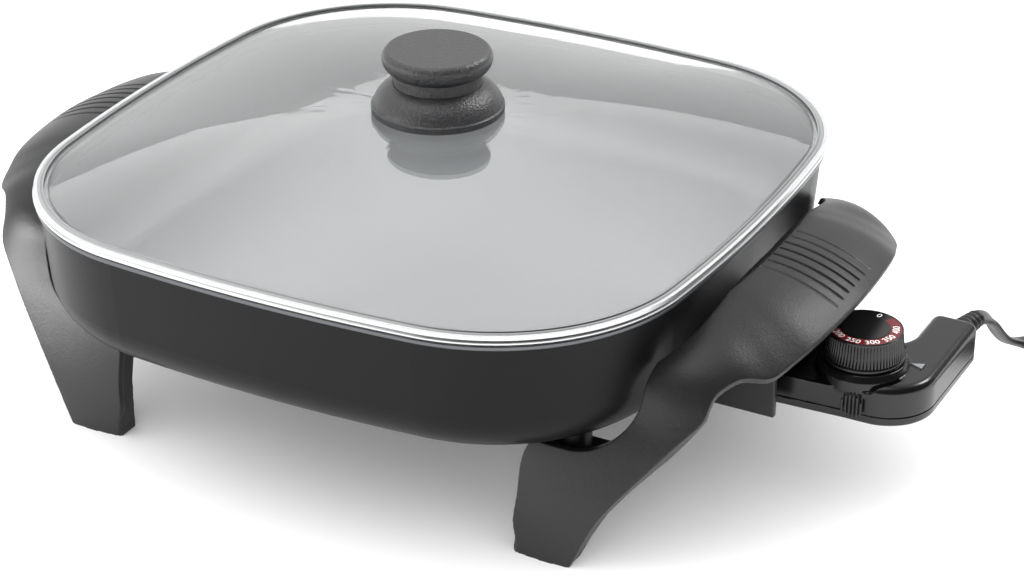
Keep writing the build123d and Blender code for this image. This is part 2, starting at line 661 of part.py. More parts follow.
def make_handle():
    """Right handle frame: one crowned skin from foot to foot, flanged legs, shelves and grooves."""
    line = rows()
    skin = loft([skin_section(*row) for row in line])
    cut = pan_side_cut()
    shaped = [solid - cut for solid in [skin, *leg_flanges(line), *leg_flanges(line[::-1])]]
    handle = joined(shaped + leg_base(-1) + leg_base(1))
    handle &= block((0, -2 * FOOT_Y, 0), (2 * GRIP_REACH_X, 2 * FOOT_Y, 2 * GRIP_TOP_Z))
    hole = SCREW_RADIUS + SCREW_GAP
    holes = [rod(hole, (BOSS_X, sy * BOSS_Y, FOOT_SOLE), LEG_TOP_Z) for sy in SIDES]
    return handle - (holes + grip_grooves())


# ---- Guard -------------------------------------------------------------------------------------

def make_guard():
    """Inverted trough round the terminals, screwed to the pan by two tabs."""
    outer = block((GUARD_BACK_X, -GUARD_HALF, GUARD_BOTTOM_Z), (GUARD_END_X, GUARD_HALF, GUARD_TOP_Z))
    inside = GUARD_HALF - GUARD_WALL
    hollow_z = GUARD_TOP_Z - GUARD_WALL
    guard = outer - block((GUARD_BACK_X, -inside, GUARD_BOTTOM_Z), (GUARD_END_X, inside, hollow_z))
    gap = GUARD_PAN_GAP
    wall_foot = (wall_x(UNDERSIDE_Z, -gap), UNDERSIDE_Z - gap)
    pan_side = make_face(
        Polyline((0, UNDERSIDE_Z - gap), wall_foot, (wall_x(RIM_Z, -gap), RIM_Z), (0, RIM_Z), close=True)
    )
    pan_side = rounded(pan_side, (*wall_foot, BOTTOM_RADIUS + gap))
    guard -= extrude(Plane.XZ * pan_side, 2 * GUARD_HALF, both=True)
    for sy in SIDES:
        near, far = sorted((sy * (inside + GUARD_WALL / 2), sy * (GUARD_SCREW_Y - GUARD_TAB / 2)))
        tab = block(
            (GUARD_SCREW_X - GUARD_TAB / 2, near, GUARD_TAB_Z),
            (GUARD_SCREW_X + GUARD_TAB / 2, far, GUARD_TAB_Z + GUARD_TAB_THICK),
        )
        hole = rod(SCREW_RADIUS + SCREW_GAP, (GUARD_SCREW_X, sy * GUARD_SCREW_Y, GUARD_TAB_Z), GUARD_TAB_THICK)
        guard += tab - hole
    return guard


# ---- Lid ---------------------------------------------------------------------------------------

def dome(low):
    """Solid under a dome whose edge is at height `low`."""
    rise = KNOB_SEAT_Z - GLASS_TOP_Z
    faces = []
    for step in range(DOME_STEPS + 1):
        out = 1 - step / DOME_STEPS
        size = DOME_FLAT + (1 - DOME_FLAT) * out
        faces.append(Face(Pos(0, 0, low + rise * (1 - out ** DOME_POWER)) * outline(DOME_START, size)))
    return loft(faces)


def make_glass():
    """Domed glass with a flat ground edge and a hole for the knob's screw."""
    low = GLASS_TOP_Z - GLASS
    edge = BAND_SHEET + GLASS_FIT - LID_OVER
    glass = plate(edge, low, GLASS_TOP_Z) + dome(GLASS_TOP_Z)
    glass -= plate(DOME_START, low - LAP, low) + dome(low)
    return glass - rod(SCREW_RADIUS + SCREW_GAP, (0, 0, low), KNOB_SEAT_Z)


def make_band():
    """Rolled steel band that grips the glass's edge, with a skirt that centres the lid in the pan."""
    out = PAN_HALF + LID_OVER
    top_in = out - BAND_WIDTH
    lip_under = RIM_Z - LIP_THICK
    skirt_out = wall_x(lip_under, WALL - LEDGE_STEP) - BAND_SKIRT_GAP
    skirt_in = skirt_out - BAND_SHEET
    top = GLASS_TOP_Z + BAND_SHEET
    foot = BAND_Z - BAND_SKIRT
    inner_z = BAND_Z + BAND_SHEET
    section = make_face(
        Polyline(
            (top_in, top), (out, top), (out, BAND_Z), (skirt_out, BAND_Z), (skirt_out, foot), (skirt_in, foot),
            (skirt_in, inner_z), (out - BAND_SHEET, inner_z), (out - BAND_SHEET, GLASS_TOP_Z),
            (top_in, GLASS_TOP_Z), close=True,
        )
    )
    section = rounded(section, (out, top, BAND_SHEET * 0.9), (out, BAND_Z, BAND_SHEET * 0.9))
    return ring(Plane.XZ * section)


def make_knob_base():
    """Flared skirt of the knob, hollow underneath."""
    r, z, edge = KNOB_BASE_RADIUS, KNOB_SEAT_Z, KNOB_BASE_EDGE
    lip = z + KNOB_BASE_LIP
    neck = (KNOB_NECK_RADIUS + edge, z + KNOB_BASE)
    flare = (r * KNOB_FLARE[0], z + KNOB_BASE * KNOB_FLARE[1])
    inside = r - KNOB_WALL
    roof = z + KNOB_BASE - KNOB_WALL
    roof_edge = (inside * KNOB_ROOF, roof)
    hole = SCREW_RADIUS + SCREW_GAP
    seat = (GASKET_RADIUS, z + GASKET)
    edges = [
        Polyline((r - edge, z), (r, z + edge), (r, lip - edge), (r - edge, lip)),
        ThreePointArc((r - edge, lip), flare, neck),
        Polyline(neck, (hole, z + KNOB_BASE), (hole, z + GASKET), seat),
        Polyline(seat, (GASKET_RADIUS, roof), roof_edge),
        Polyline(roof_edge, (inside, lip), (inside, z), (r - edge, z)),
    ]
    return revolve(Plane.XZ * make_face(edges), Axis.Z)


def make_knob():
    """Knob with a cylindrical neck, a rounded bulge and a flat top; blind bore for the screw."""
    z = KNOB_Z
    neck_top = (KNOB_NECK_RADIUS, z + KNOB_NECK)
    bulge = (KNOB_BULGE_RADIUS, z + KNOB_HEIGHT - KNOB_BULGE_DROP)
    top = (KNOB_TOP_RADIUS, z + KNOB_HEIGHT)
    bore_top = KNOB_SEAT_Z - GLASS - LID_WASHER + LID_SCREW_LENGTH + SCREW_TIP_GAP
    edges = [
        Polyline((KNOB_BORE, z), (KNOB_NECK_RADIUS, z), neck_top),
        TangentArc(bulge, neck_top, tangent=(0, -1)),
        TangentArc(bulge, top, tangent=(0, 1)),
        Polyline(top, (0, z + KNOB_HEIGHT), (0, bore_top), (KNOB_BORE, bore_top), (KNOB_BORE, z)),
    ]
    return revolve(Plane.XZ * make_face(edges), Axis.Z)


def make_lid_screw():
    """Screw up through the glass into the knob."""
    seat = KNOB_SEAT_Z - GLASS - LID_WASHER
    return screw(SCREW_RADIUS, SCREW_HEAD_RADIUS, SCREW_HEAD, LID_SCREW_LENGTH, (0, 0, seat))


def make_lid_washer():
    """Wide washer under the glass."""
    return washer(LID_WASHER_RADIUS, LID_WASHER, (0, 0, KNOB_SEAT_Z - GLASS - LID_WASHER))


def make_gasket():
    """Silicone washer between the glass and the knob's base."""
    return washer(GASKET_RADIUS, GASKET, (0, 0, KNOB_SEAT_Z))


# ---- Temperature control -----------------------------------------------------------------------

def housing_plan(inset=0.0):
    """Plan of the housing: a snout towards the pan, a round corner and a tail along +Y."""
    tail_in = BODY_END_X - TAIL_WIDTH
    snout = SNOUT_HALF - inset
    low, high = BODY_FRONT_Y + inset, TAIL_Y - inset
    left, right = tail_in + inset, BODY_END_X - inset
    nose = NOSE_X + inset
    face = make_face(
        Polyline(
            (nose, -snout), (DIAL_X, low), (right, low), (right, high), (left, high), (left, snout),
            (nose, snout), close=True,
        )
    )
    return rounded(
        face,
        (right, low, BODY_CORNER - inset),
        (right, high, TAIL_CORNER - inset),
        (left, high, TAIL_CORNER - inset),
        (left, snout, TAIL_HOLLOW + inset),
    )


def lower_deck(wider, low, high):
    """Space over the lower deck, between two heights: the snout up to the step, and the dial's front."""
    step = DIAL_X + DECK_PAST_DIAL + wider
    snout = block((0, 2 * BODY_FRONT_Y, low), (step, SNOUT_HALF + wider, high))
    front = block((DIAL_X, 2 * BODY_FRONT_Y, low), (BODY_END_X, DECK_END_Y + wider, high))
    return snout + (front & rod(DECK_RADIUS + wider, (DIAL_X, 0, low), high - low))


def posts(radius, low, high):
    """One round post at each of the housing's screws."""
    return [rod(radius, (x, y, low), high - low) for x, y in POSTS]


def nose_holes():
    """Holes in the nose for the two pins and the probe."""
    reach = HOUSING_WALL + 2 * LAP
    holes = [rod(PROBE_RADIUS + PROBE_HOLE_GAP, (NOSE_X - LAP, 0, TERMINAL_Z), reach, "X")]
    for sy in SIDES:
        start = (NOSE_X - LAP, sy * TERMINAL_PITCH / 2, TERMINAL_Z)
        holes.append(rod(PIN_RADIUS + PIN_HOLE_GAP, start, reach, "X"))
    return holes


def lens_plan():
    """Wedge that points at the dial."""
    tip, end = DIAL_X + LENS_PAST_DIAL, DIAL_X + LENS_PAST_DIAL + LENS_LENGTH
    return make_face(Polyline((tip, LENS_Y), (end, LENS_Y - LENS_HALF), (end, LENS_Y + LENS_HALF), close=True))


def cord_points():
    """Points of the cord's route, from the relief's tip on."""
    return [Vector(EXIT[0] + x, EXIT[1] + y, z) for x, y, z in CORD_ROUTE]


def relief_frame():
    """Plane at the relief's root, with Z along it."""
    start = Vector(*EXIT)
    return Plane(origin=start, z_dir=cord_points()[0] - start)


def relief_length():
    """From the housing's end wall to where the cord leaves the relief."""
    return (cord_points()[0] - Vector(*EXIT)).length


def make_control_top():
    """Upper shell: rounded edge, lower deck with the dial's collar, nose wall and screw posts."""
    shell = extrude(Pos(0, 0, HOUSING_SPLIT_Z) * housing_plan(), HOUSING_TOP_Z - HOUSING_SPLIT_Z)
    shell = fillet(shell.edges().group_by(Axis.Z)[-1], HOUSING_EDGE)
    shell -= lower_deck(0, DECK_Z, HOUSING_TOP_Z + LAP)
    hollow = extrude(Pos(0, 0, HOUSING_SPLIT_Z) * housing_plan(HOUSING_WALL), ROOF_Z - HOUSING_SPLIT_Z)
    shell -= hollow - lower_deck(HOUSING_WALL, DECK_ROOF_Z, ROOF_Z + LAP)
    foot, shoulder = (COLLAR_RADIUS, DECK_ROOF_Z), (COLLAR_RADIUS, HOUSING_TOP_Z)
    collar = lathe((0, DECK_ROOF_Z), foot, shoulder, (COLLAR_TOP_RADIUS, COLLAR_Z), (0, COLLAR_Z))
    short, tall = (posts(POST_RADIUS, POST_SPLIT_Z, roof + LAP) for roof in (DECK_ROOF_Z, ROOF_Z))
    shell = joined([shell, Pos(DIAL_X, 0, 0) * collar, short[0], *tall[1:]])
    shell -= rod(SHAFT_RADIUS + SHAFT_RUNNING_GAP, (DIAL_X, 0, HOUSING_SPLIT_Z), COLLAR_Z - HOUSING_SPLIT_Z)
    shell -= extrude(Pos(0, 0, ROOF_Z - LAP) * lens_plan(), HOUSING_WALL + LAP)
    holes = nose_holes() + posts(CONTROL_SCREW_RADIUS, POST_SPLIT_Z, DECK_ROOF_Z)
    return shell - (holes + [relief_frame() * solid for solid in relief_root(2 * HOUSING_WALL)])


def make_control_base():
    """Lower shell: shallow tray with screw posts and counterbored holes."""
    tray = extrude(Pos(0, 0, HOUSING_BOTTOM_Z) * housing_plan(), HOUSING_SPLIT_Z - HOUSING_BOTTOM_Z)
    tray = fillet(tray.edges().group_by(Axis.Z)[0], HOUSING_FOOT_EDGE)
    floor = HOUSING_BOTTOM_Z + HOUSING_WALL
    tray -= extrude(Pos(0, 0, floor) * housing_plan(HOUSING_WALL), HOUSING_SPLIT_Z - floor)
    tray = joined([tray] + posts(POST_RADIUS, floor - LAP, POST_SPLIT_Z))
    seat = HOUSING_BOTTOM_Z + CONTROL_SCREW_HEAD_THICK
    holes = posts(CONTROL_SCREW_RADIUS + CONTROL_SCREW_GAP, HOUSING_BOTTOM_Z, POST_SPLIT_Z)
    return tray - (holes + posts(CONTROL_SCREW_HEAD + CONTROL_SCREW_GAP, HOUSING_BOTTOM_Z, seat))


def make_control_screws():
    """Screws that close the housing from below."""
    seat = HOUSING_BOTTOM_Z + CONTROL_SCREW_HEAD_THICK
    length = DECK_ROOF_Z - seat - SCREW_TIP_GAP
    heads = (CONTROL_SCREW_RADIUS, CONTROL_SCREW_HEAD, CONTROL_SCREW_HEAD_THICK, length)
    return [screw(*heads, (x, y, seat)) for x, y in POSTS]


def make_probe():
    """Heat-sensing tube with a rounded tip, held in the contact block."""
    end = BLOCK_X + BLOCK_LENGTH
    tube = rod(PROBE_RADIUS, (PROBE_TIP_X, 0, TERMINAL_Z), end - PROBE_TIP_X, "X")
    return fillet(tube.edges().group_by(Axis.X)[0], PROBE_RADIUS * TIP_ROUND)


def make_sockets():
    """Two spring tubes that take the pan's pins."""
    inner = PIN_RADIUS + SOCKET_PIN_GAP
    tubes = []
    for sy in SIDES:
        start = (NOSE_X + HOUSING_WALL + SOCKET_GAP, sy * TERMINAL_PITCH / 2, TERMINAL_Z)
        tube = rod(inner + SOCKET_WALL, start, SOCKET_LENGTH, "X")
        tubes.append(tube - rod(inner, start, SOCKET_LENGTH - SOCKET_END, "X"))
    return tubes


def make_block():
    """Insulating block that carries the probe, the sockets and the blades."""
    low = (BLOCK_X, -BLOCK_HALF, HOUSING_BOTTOM_Z + HOUSING_WALL)
    body = block(low, (BLOCK_X + BLOCK_LENGTH, BLOCK_HALF, low[2] + BLOCK_HEIGHT))
    body -= rod(PROBE_RADIUS, (BLOCK_X, 0, TERMINAL_Z), BLOCK_LENGTH, "X")
    outer = PIN_RADIUS + SOCKET_PIN_GAP + SOCKET_WALL
    for sy in SIDES:
        body -= rod(outer, (BLOCK_X, sy * TERMINAL_PITCH / 2, TERMINAL_Z), BLOCK_LENGTH, "X")
    return body


def make_blades():
    """Bimetal blade and the fixed blade below it, both held at the block."""
    start, end = BLOCK_X + BLOCK_LENGTH, DIAL_X + BLADE_PAST_DIAL
    upper = SHAFT_TIP_Z - SHAFT_BLADE_GAP
    lower = upper - BLADE - 2 * CONTACT - CONTACT_GAP
    half = BLADE_WIDTH / 2
    return [block((start, -half, top - BLADE), (end, half, top)) for top in (upper, lower)]


def make_contacts():
    """Silver contacts that face each other on the two blades."""
    upper = SHAFT_TIP_Z - SHAFT_BLADE_GAP - BLADE - CONTACT
    lower = upper - CONTACT - CONTACT_GAP
    return [rod(CONTACT_RADIUS, (DIAL_X + CONTACT_PAST_DIAL, 0, z), CONTACT) for z in (upper, lower)]


def make_lens():
    """Clear wedge let into the top, over the lamp."""
    return extrude(Pos(0, 0, HOUSING_TOP_Z - LENS_DEPTH) * lens_plan(), LENS_DEPTH + LENS_PROUD)


def make_lamp():
    """Small neon lamp under the lens."""
    x = DIAL_X + LENS_PAST_DIAL + LENS_LENGTH - LAMP_RADIUS
    lamp = rod(LAMP_RADIUS, (x, LENS_Y, HOUSING_TOP_Z - LENS_DEPTH - LAMP_LENGTH), LAMP_LENGTH)
    return fillet(lamp.edges().group_by(Axis.Z)[0], LAMP_RADIUS * TIP_ROUND)


def relief_root(length):
    """The relief's flange inside the wall and its neck, out to `length`."""
    inside = -HOUSING_WALL - RELIEF_ROOM - RELIEF_FLANGE
    flange = rod(RELIEF_FLANGE_RADIUS, (0, 0, inside), RELIEF_FLANGE)
    return [flange, rod(RELIEF_NECK_RADIUS, (0, 0, inside), length - inside)]


def make_relief():
    """Ribbed strain relief, gripped by the housing's end wall; its tip bends along with the cord."""
    body = relief_length() - RELIEF_SLEEVE / 2
    solids = relief_root(body)
    pitch = (body - RELIEF_ROOM) / RELIEF_RIBS
    for k in range(RELIEF_RIBS):
        radius = RELIEF_RADIUS - (RELIEF_RADIUS - RELIEF_TIP_RADIUS) * k / (RELIEF_RIBS - 1)
        rib = rod(radius, (0, 0, RELIEF_ROOM + k * pitch), pitch * RELIEF_RIB)
        solids.append(chamfer(rib.edges(), RELIEF_RIB_EDGE))
    start, ahead = cord_points()[:2]
    tip = Plane(origin=start, z_dir=ahead - start)
    sleeve = rod(RELIEF_NECK_RADIUS, (0, 0, -RELIEF_SLEEVE), RELIEF_SLEEVE)
    return relief_frame() * joined(solids) + tip * sleeve


# ---- Dial --------------------------------------------------------------------------------------

def dial_top():
    """Height of the dial's rim."""
    return DIAL_Z + DIAL_HEIGHT


def make_dial():
    """Hollow dial with a hub on the shaft and a shallow seat for its ring and disc."""
    low, top = DIAL_Z, dial_top()
    seat = top - DIAL_INLAY
    under = seat - DIAL_WALL
    hub, hub_foot = SHAFT_RADIUS + HUB_WALL, low + HUB_RAISE
    body = lathe(
        (SHAFT_RADIUS, hub_foot), (hub, hub_foot), (hub, under), (DIAL_TOP_RADIUS - DIAL_WALL, under),
        (DIAL_RADIUS - DIAL_WALL, low), (DIAL_RADIUS, low), (DIAL_RADIUS, low + DIAL_FOOT),
        (DIAL_TOP_RADIUS, top - DIAL_EDGE), (DIAL_TOP_RADIUS - DIAL_EDGE, top), (DIAL_FACE_RADIUS, top),
        (DIAL_FACE_RADIUS, seat), (0, seat), (0, under), (SHAFT_RADIUS, under),
    )
    return Pos(DIAL_X, 0, 0) * body


def make_dial_ring():
    """Numbered ring let into the dial."""
    seat = dial_top() - DIAL_INLAY
    outer = rod(DIAL_FACE_RADIUS, (DIAL_X, 0, seat), DIAL_INLAY - RING_BELOW)
    return outer - rod(DIAL_DISC_RADIUS, (DIAL_X, 0, seat), DIAL_INLAY)


def make_dial_disc():
    """Centre disc of the dial."""
    disc = rod(DIAL_DISC_RADIUS, (DIAL_X, 0, dial_top() - DIAL_INLAY), DIAL_INLAY + DISC_PROUD)
    return chamfer(disc.edges().group_by(Axis.Z)[-1], DISC_EDGE)


def make_dial_shaft():
    """Adjusting shaft from the dial's hub down to the blade."""
    top = dial_top() - DIAL_INLAY - DIAL_WALL
    return rod(SHAFT_RADIUS, (DIAL_X, 0, SHAFT_TIP_Z), top - SHAFT_TIP_Z)


# ---- Cord --------------------------------------------------------------------------------------

def route_radii(points):
    """Bend radius at each inner point: as large as its two runs allow."""
    radii = []
    for a, b, c in zip(points, points[1:], points[2:]):
        turn = (b - a).get_angle(c - b)
        radii.append(0.45 * min((b - a).length, (c - b).length) / tan(radians(turn / 2)))
    return radii


def make_cord():
    """The lead from the relief to the coil."""
    points = cord_points()
    radii = route_radii(points)
    path = FilletPolyline(*points, radius=radii)
    wire = Wire(path.edges())
    cord = sweep(Plane(origin=wire @ 0, z_dir=wire % 0) * Circle(CORD_WIDTH / 2), path=wire)
    area = pi * CORD_WIDTH ** 2 / 4
    print("cord radii", [round(r, 1) for r in radii], "length", round(wire.length, 1))
    print("cord volume over section times length", round(cord.volume / (area * wire.length), 4))
    return cord


def make_coil():
    """Closed outer shape of the coiled lead."""
    r, w, h = COIL_MIDDLE_RADIUS, COIL_BUNDLE_WIDTH / 2, COIL_BUNDLE_HEIGHT
    coil = lathe((r - w, 0), (r + w, 0), (r + w, h), (r - w, h))
    return Pos(EXIT[0] + COIL_CENTRE[0], EXIT[1] + COIL_CENTRE[1], 0) * fillet(coil.edges(), COIL_EDGE)


def make_plug():
    """Moulded two-pin plug lying beside the coil, its pins towards -Y."""
    middle = PLUG_THICK / 2
    half = PLUG_WIDTH / 2
    back = PLUG_FRONT_Y + PLUG_BODY
    body = block((PLUG_X - half, PLUG_FRONT_Y, 0), (PLUG_X + half, back, PLUG_THICK))
    body = fillet(body.edges().filter_by(Axis.Y), PLUG_EDGE)
    body = chamfer(body.edges().group_by(Axis.Y)[-1], PLUG_END_EDGE)
    tail = rod(PLUG_TAIL_RADIUS, (PLUG_X, back - LAP, middle), PLUG_TAIL + LAP, "Y")
    return body + tail - make_prongs()


def make_prongs():
    """The plug's two flat pins."""
    middle = PLUG_THICK / 2
    pins = []
    for sx in SIDES:
        x = PLUG_X + sx * PRONG_PITCH / 2
        low = (x - PRONG_THICK / 2, PLUG_FRONT_Y - PRONG_LENGTH, middle - PRONG_WIDTH / 2)
        pins.append(block(low, (x + PRONG_THICK / 2, PLUG_FRONT_Y + PRONG_ROOT, middle + PRONG_WIDTH / 2)))
    return pins


# ---- Export ------------------------------------------------------------------------------------

def sub_parts():
    """Name and maker of every sub-part."""
    handle = make_handle()
    return {
        "pan": make_pan,
        "heating_element": make_element,
        "terminal_pins": make_pins,
        "terminal_insulators": make_insulators,
        "terminal_guard": make_guard,
        "guard_screws": guard_screws,
        "handle_right": lambda: handle,
        "handle_left": lambda: mirror(handle, about=Plane.YZ),
        "handle_screws": leg_screws,
        "handle_washers": leg_washers,
        "lid_glass": make_glass,
        "lid_rim": make_band,
        "knob_base": make_knob_base,
        "lid_knob": make_knob,
        "lid_screw": make_lid_screw,
        "lid_washer": make_lid_washer,
        "lid_gasket": make_gasket,
        "control_top": make_control_top,
        "control_base": make_control_base,
        "control_screws": make_control_screws,
        "probe_tube": make_probe,
        "terminal_sockets": make_sockets,
        "contact_block": make_block,
        "thermostat_blades": make_blades,
        "thermostat_contacts": make_contacts,
        "pointer_lens": make_lens,
        "pilot_lamp": make_lamp,
        "cord_relief": make_relief,
        "dial_knob": make_dial,
        "dial_ring": make_dial_ring,
        "dial_disc": make_dial_disc,
        "dial_shaft": make_dial_shaft,
        "power_cord": make_cord,
        "cord_coil": make_coil,
        "mains_plug": make_plug,
        "plug_prongs": make_prongs,
    }


def main():
    """Write one STEP file per sub-part, with the origin under the middle of the appliance."""
    os.makedirs("parts", exist_ok=True)
    for name, make in sub_parts().items():
        made = make()
        solids = made if isinstance(made, list) else [made]
        several = len(solids) > 1
        whole = Compound(children=[s for item in solids for s in item.solids()]) if several else solids[0]
        export_step(Pos(-CENTRE_X, 0, 0) * whole, f"parts/{name}.step")


if __name__ == "__main__":
    main()
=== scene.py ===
"""Looks of a square electric skillet: glass lid with a knob, plastic frames and a plug-in temperature control.

Metres, +Z up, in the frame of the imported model. Sizes are written in millimetres times MM.
"""

import json
from math import acos, cos, pi, radians, sin

import bmesh
import bpy
from mathutils import Matrix, Vector

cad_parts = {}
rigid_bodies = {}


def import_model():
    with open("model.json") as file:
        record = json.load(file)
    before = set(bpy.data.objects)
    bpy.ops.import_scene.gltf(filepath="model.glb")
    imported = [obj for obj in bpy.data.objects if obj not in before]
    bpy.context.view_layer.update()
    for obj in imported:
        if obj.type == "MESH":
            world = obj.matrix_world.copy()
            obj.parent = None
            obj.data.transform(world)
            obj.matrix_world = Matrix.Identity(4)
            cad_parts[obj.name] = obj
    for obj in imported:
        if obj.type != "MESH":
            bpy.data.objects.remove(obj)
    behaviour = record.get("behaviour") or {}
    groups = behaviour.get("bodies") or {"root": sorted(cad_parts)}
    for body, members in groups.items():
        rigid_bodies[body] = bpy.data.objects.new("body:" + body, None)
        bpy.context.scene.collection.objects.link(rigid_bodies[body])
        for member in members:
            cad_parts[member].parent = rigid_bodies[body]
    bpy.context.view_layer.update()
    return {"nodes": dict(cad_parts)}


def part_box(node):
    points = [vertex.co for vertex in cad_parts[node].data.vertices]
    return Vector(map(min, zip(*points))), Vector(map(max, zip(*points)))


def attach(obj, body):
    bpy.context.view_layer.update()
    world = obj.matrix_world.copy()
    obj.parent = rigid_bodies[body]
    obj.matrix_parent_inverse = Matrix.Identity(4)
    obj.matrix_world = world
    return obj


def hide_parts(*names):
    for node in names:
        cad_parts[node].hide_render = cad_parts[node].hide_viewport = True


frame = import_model()
nodes = frame["nodes"]
MM = 0.001

# ---- Camera ------------------------------------------------------------------------------------
# A long lens a little above the lid, looking over the front right corner.
CAMERA_PLACE = (527.757 * MM, -953.755 * MM, 620.994 * MM)
CAMERA_TARGET = (12.4 * MM, 15.2 * MM, 44.4 * MM)
CAMERA_LENS = 96.09

camera = bpy.data.objects.new("camera", bpy.data.cameras.new("camera"))
bpy.context.scene.collection.objects.link(camera)
camera.data.lens = CAMERA_LENS
camera.location = CAMERA_PLACE
camera.rotation_euler = (Vector(CAMERA_TARGET) - Vector(CAMERA_PLACE)).to_track_quat("-Z", "Y").to_euler()
bpy.context.scene.camera = camera
bpy.context.scene.view_settings.view_transform = "Standard"

# ---- Studio ------------------------------------------------------------------------------------
# White paper sweep in a white room whose right side is hung with black cloth. A very large softbox hangs
# overhead, a small one stands in front and a low one in front on the left. Three more lights are flagged,
# so each reaches only the dark pieces or only the left frame. None of it is part of the skillet.
PAPER = "#f6f6f6"
ROOM_WHITE = "#ffffff"
CLOTH_SIDE = (0.86, -0.5, -0.1)  # towards the black cloth
PAPER_GLOW = 0.1  # light that the white room throws back through the paper
ROOM_LIGHT = 1.0
ROOM_DARK = 0.03
SWEEP_SIZE = 8.0
SOFTBOXES = (  # name, place, target, width, height, watts, shows in reflections
    ("overhead", (0.0, 1.5, 3.0), (0.0, 1.5, 0.0), 12.0, 10.0, 720.0, False),
    ("front_box", (0.3, -1.9, 1.0), (0.0, 0.0, 0.0), 1.8, 0.9, 14.0, False),
    ("low_box", (-1.2, -1.5, 0.38), (0.0, 0.0, 0.1), 1.3, 0.6, 6.0, True),
)
EDGE_BOX = ((-0.2, -0.3, 1.8), (0.0, 0.0, 0.0), 1.5, 1.2, 8.0)  # lights only the dark pieces
CORNER_BOX = ((1.0, 1.5, 1.75), (0.2, 0.0, 0.06), 0.6, 0.6, 22.0)  # the same, for rounded edges
ARM_CARD = ((-0.306, -0.243, 0.1), (-0.172, -0.097, 0.075), 0.1, 0.1, 0.5)  # lights only the left frame


def linear(colour):
    """Linear RGBA of an sRGB hex colour."""
    parts = [int(colour[i:i + 2], 16) / 255 for i in (1, 3, 5)]
    return [c / 12.92 if c <= 0.04045 else ((c + 0.055) / 1.055) ** 2.4 for c in parts] + [1.0]


def add(tree, kind, inputs=None, **settings):
    """Node of a kind. `inputs` are values or other nodes' outputs; the rest are the node's settings."""
    node = tree.nodes.new("ShaderNode" + kind)
    for name, value in settings.items():
        setattr(node, name, value)
    for name, value in (inputs or {}).items():
        if isinstance(value, bpy.types.NodeSocket):
            tree.links.new(value, node.inputs[name])
        else:
            node.inputs[name].default_value = value
    return node


def finish_of(name, **shader_values):
    """Material whose Principled shader holds these values, with its tree, shader and place on the piece."""
    material = bpy.data.materials.new(name)
    material.use_nodes = True
    tree = material.node_tree
    shader = tree.nodes["Principled BSDF"]
    for socket, value in shader_values.items():
        shader.inputs[socket.replace("_", " ")].default_value = value
    return material, tree, shader, add(tree, "TexCoord").outputs["Object"]


def dent(shader, pattern, strength, depth):
    """Small relief on the surface, so that highlights break up as on the real finish."""
    tree = shader.id_data
    bump = add(tree, "Bump", {"Height": pattern, "Strength": strength, "Distance": depth})
    tree.links.new(bump.outputs["Normal"], shader.inputs["Normal"])


room = bpy.data.worlds.new("studio_room")
room.use_nodes = True
way = add(room.node_tree, "TexCoord").outputs["Generated"]
towards_cloth = add(room.node_tree, "VectorMath", {0: way, 1: CLOTH_SIDE}, operation="DOT_PRODUCT")
share = add(room.node_tree, "MapRange", {
    "Value": towards_cloth.outputs["Value"], "From Min": -0.9, "From Max": 0.6,
    "To Min": ROOM_LIGHT, "To Max": ROOM_DARK}, interpolation_type="SMOOTHSTEP")
backdrop = add(room.node_tree, "LightPath").outputs["Is Camera Ray"]  # past the paper the room looks white
strength = add(room.node_tree, "Math", {0: share.outputs["Result"], 1: backdrop}, operation="MAXIMUM")
room.node_tree.links.new(strength.outputs["Value"], room.node_tree.nodes["Background"].inputs["Strength"])
room.node_tree.nodes["Background"].inputs["Color"].default_value = linear(ROOM_WHITE)
bpy.context.scene.world = room


def softbox(name, place, target, width, height, watts, shows, lit=None):
    """Rectangular light that the camera doesn't see. It may light only the pieces of one collection."""
    light = bpy.data.lights.new(name, "AREA")
    light.shape = "RECTANGLE"
    light.size, light.size_y, light.energy = width, height, watts
    box = bpy.data.objects.new(name, light)
    box.location = place
    box.rotation_euler = (Vector(target) - Vector(place)).to_track_quat("-Z", "Y").to_euler()
    box.visible_camera = False
    box.visible_glossy = shows
    if lit:
        box.light_linking.receiver_collection = lit
    bpy.context.scene.collection.objects.link(box)


for row in SOFTBOXES:
    softbox(*row)
dark_pieces = bpy.data.collections.new("dark_pieces")
left_arm = bpy.data.collections.new("left_arm")
softbox("edge_box", *EDGE_BOX, True, dark_pieces)
softbox("corner_box", *CORNER_BOX, True, dark_pieces)
softbox("arm_card", *ARM_CARD, True, left_arm)

paper, tree, shader, place = finish_of(
    "matt_paper", Base_Color=linear(PAPER), Roughness=0.85,
    Emission_Color=linear(PAPER), Emission_Strength=PAPER_GLOW)
fibre = add(tree, "TexNoise", {"Vector": place, "Scale": 1 / (1.5 * MM), "Detail": 2.0})
dent(shader, fibre.outputs["Fac"], 0.1, 0.05 * MM)
bpy.ops.mesh.primitive_plane_add(size=SWEEP_SIZE)
sweep = bpy.context.object
sweep.name = "paper_sweep"
sweep.data.materials.append(paper)

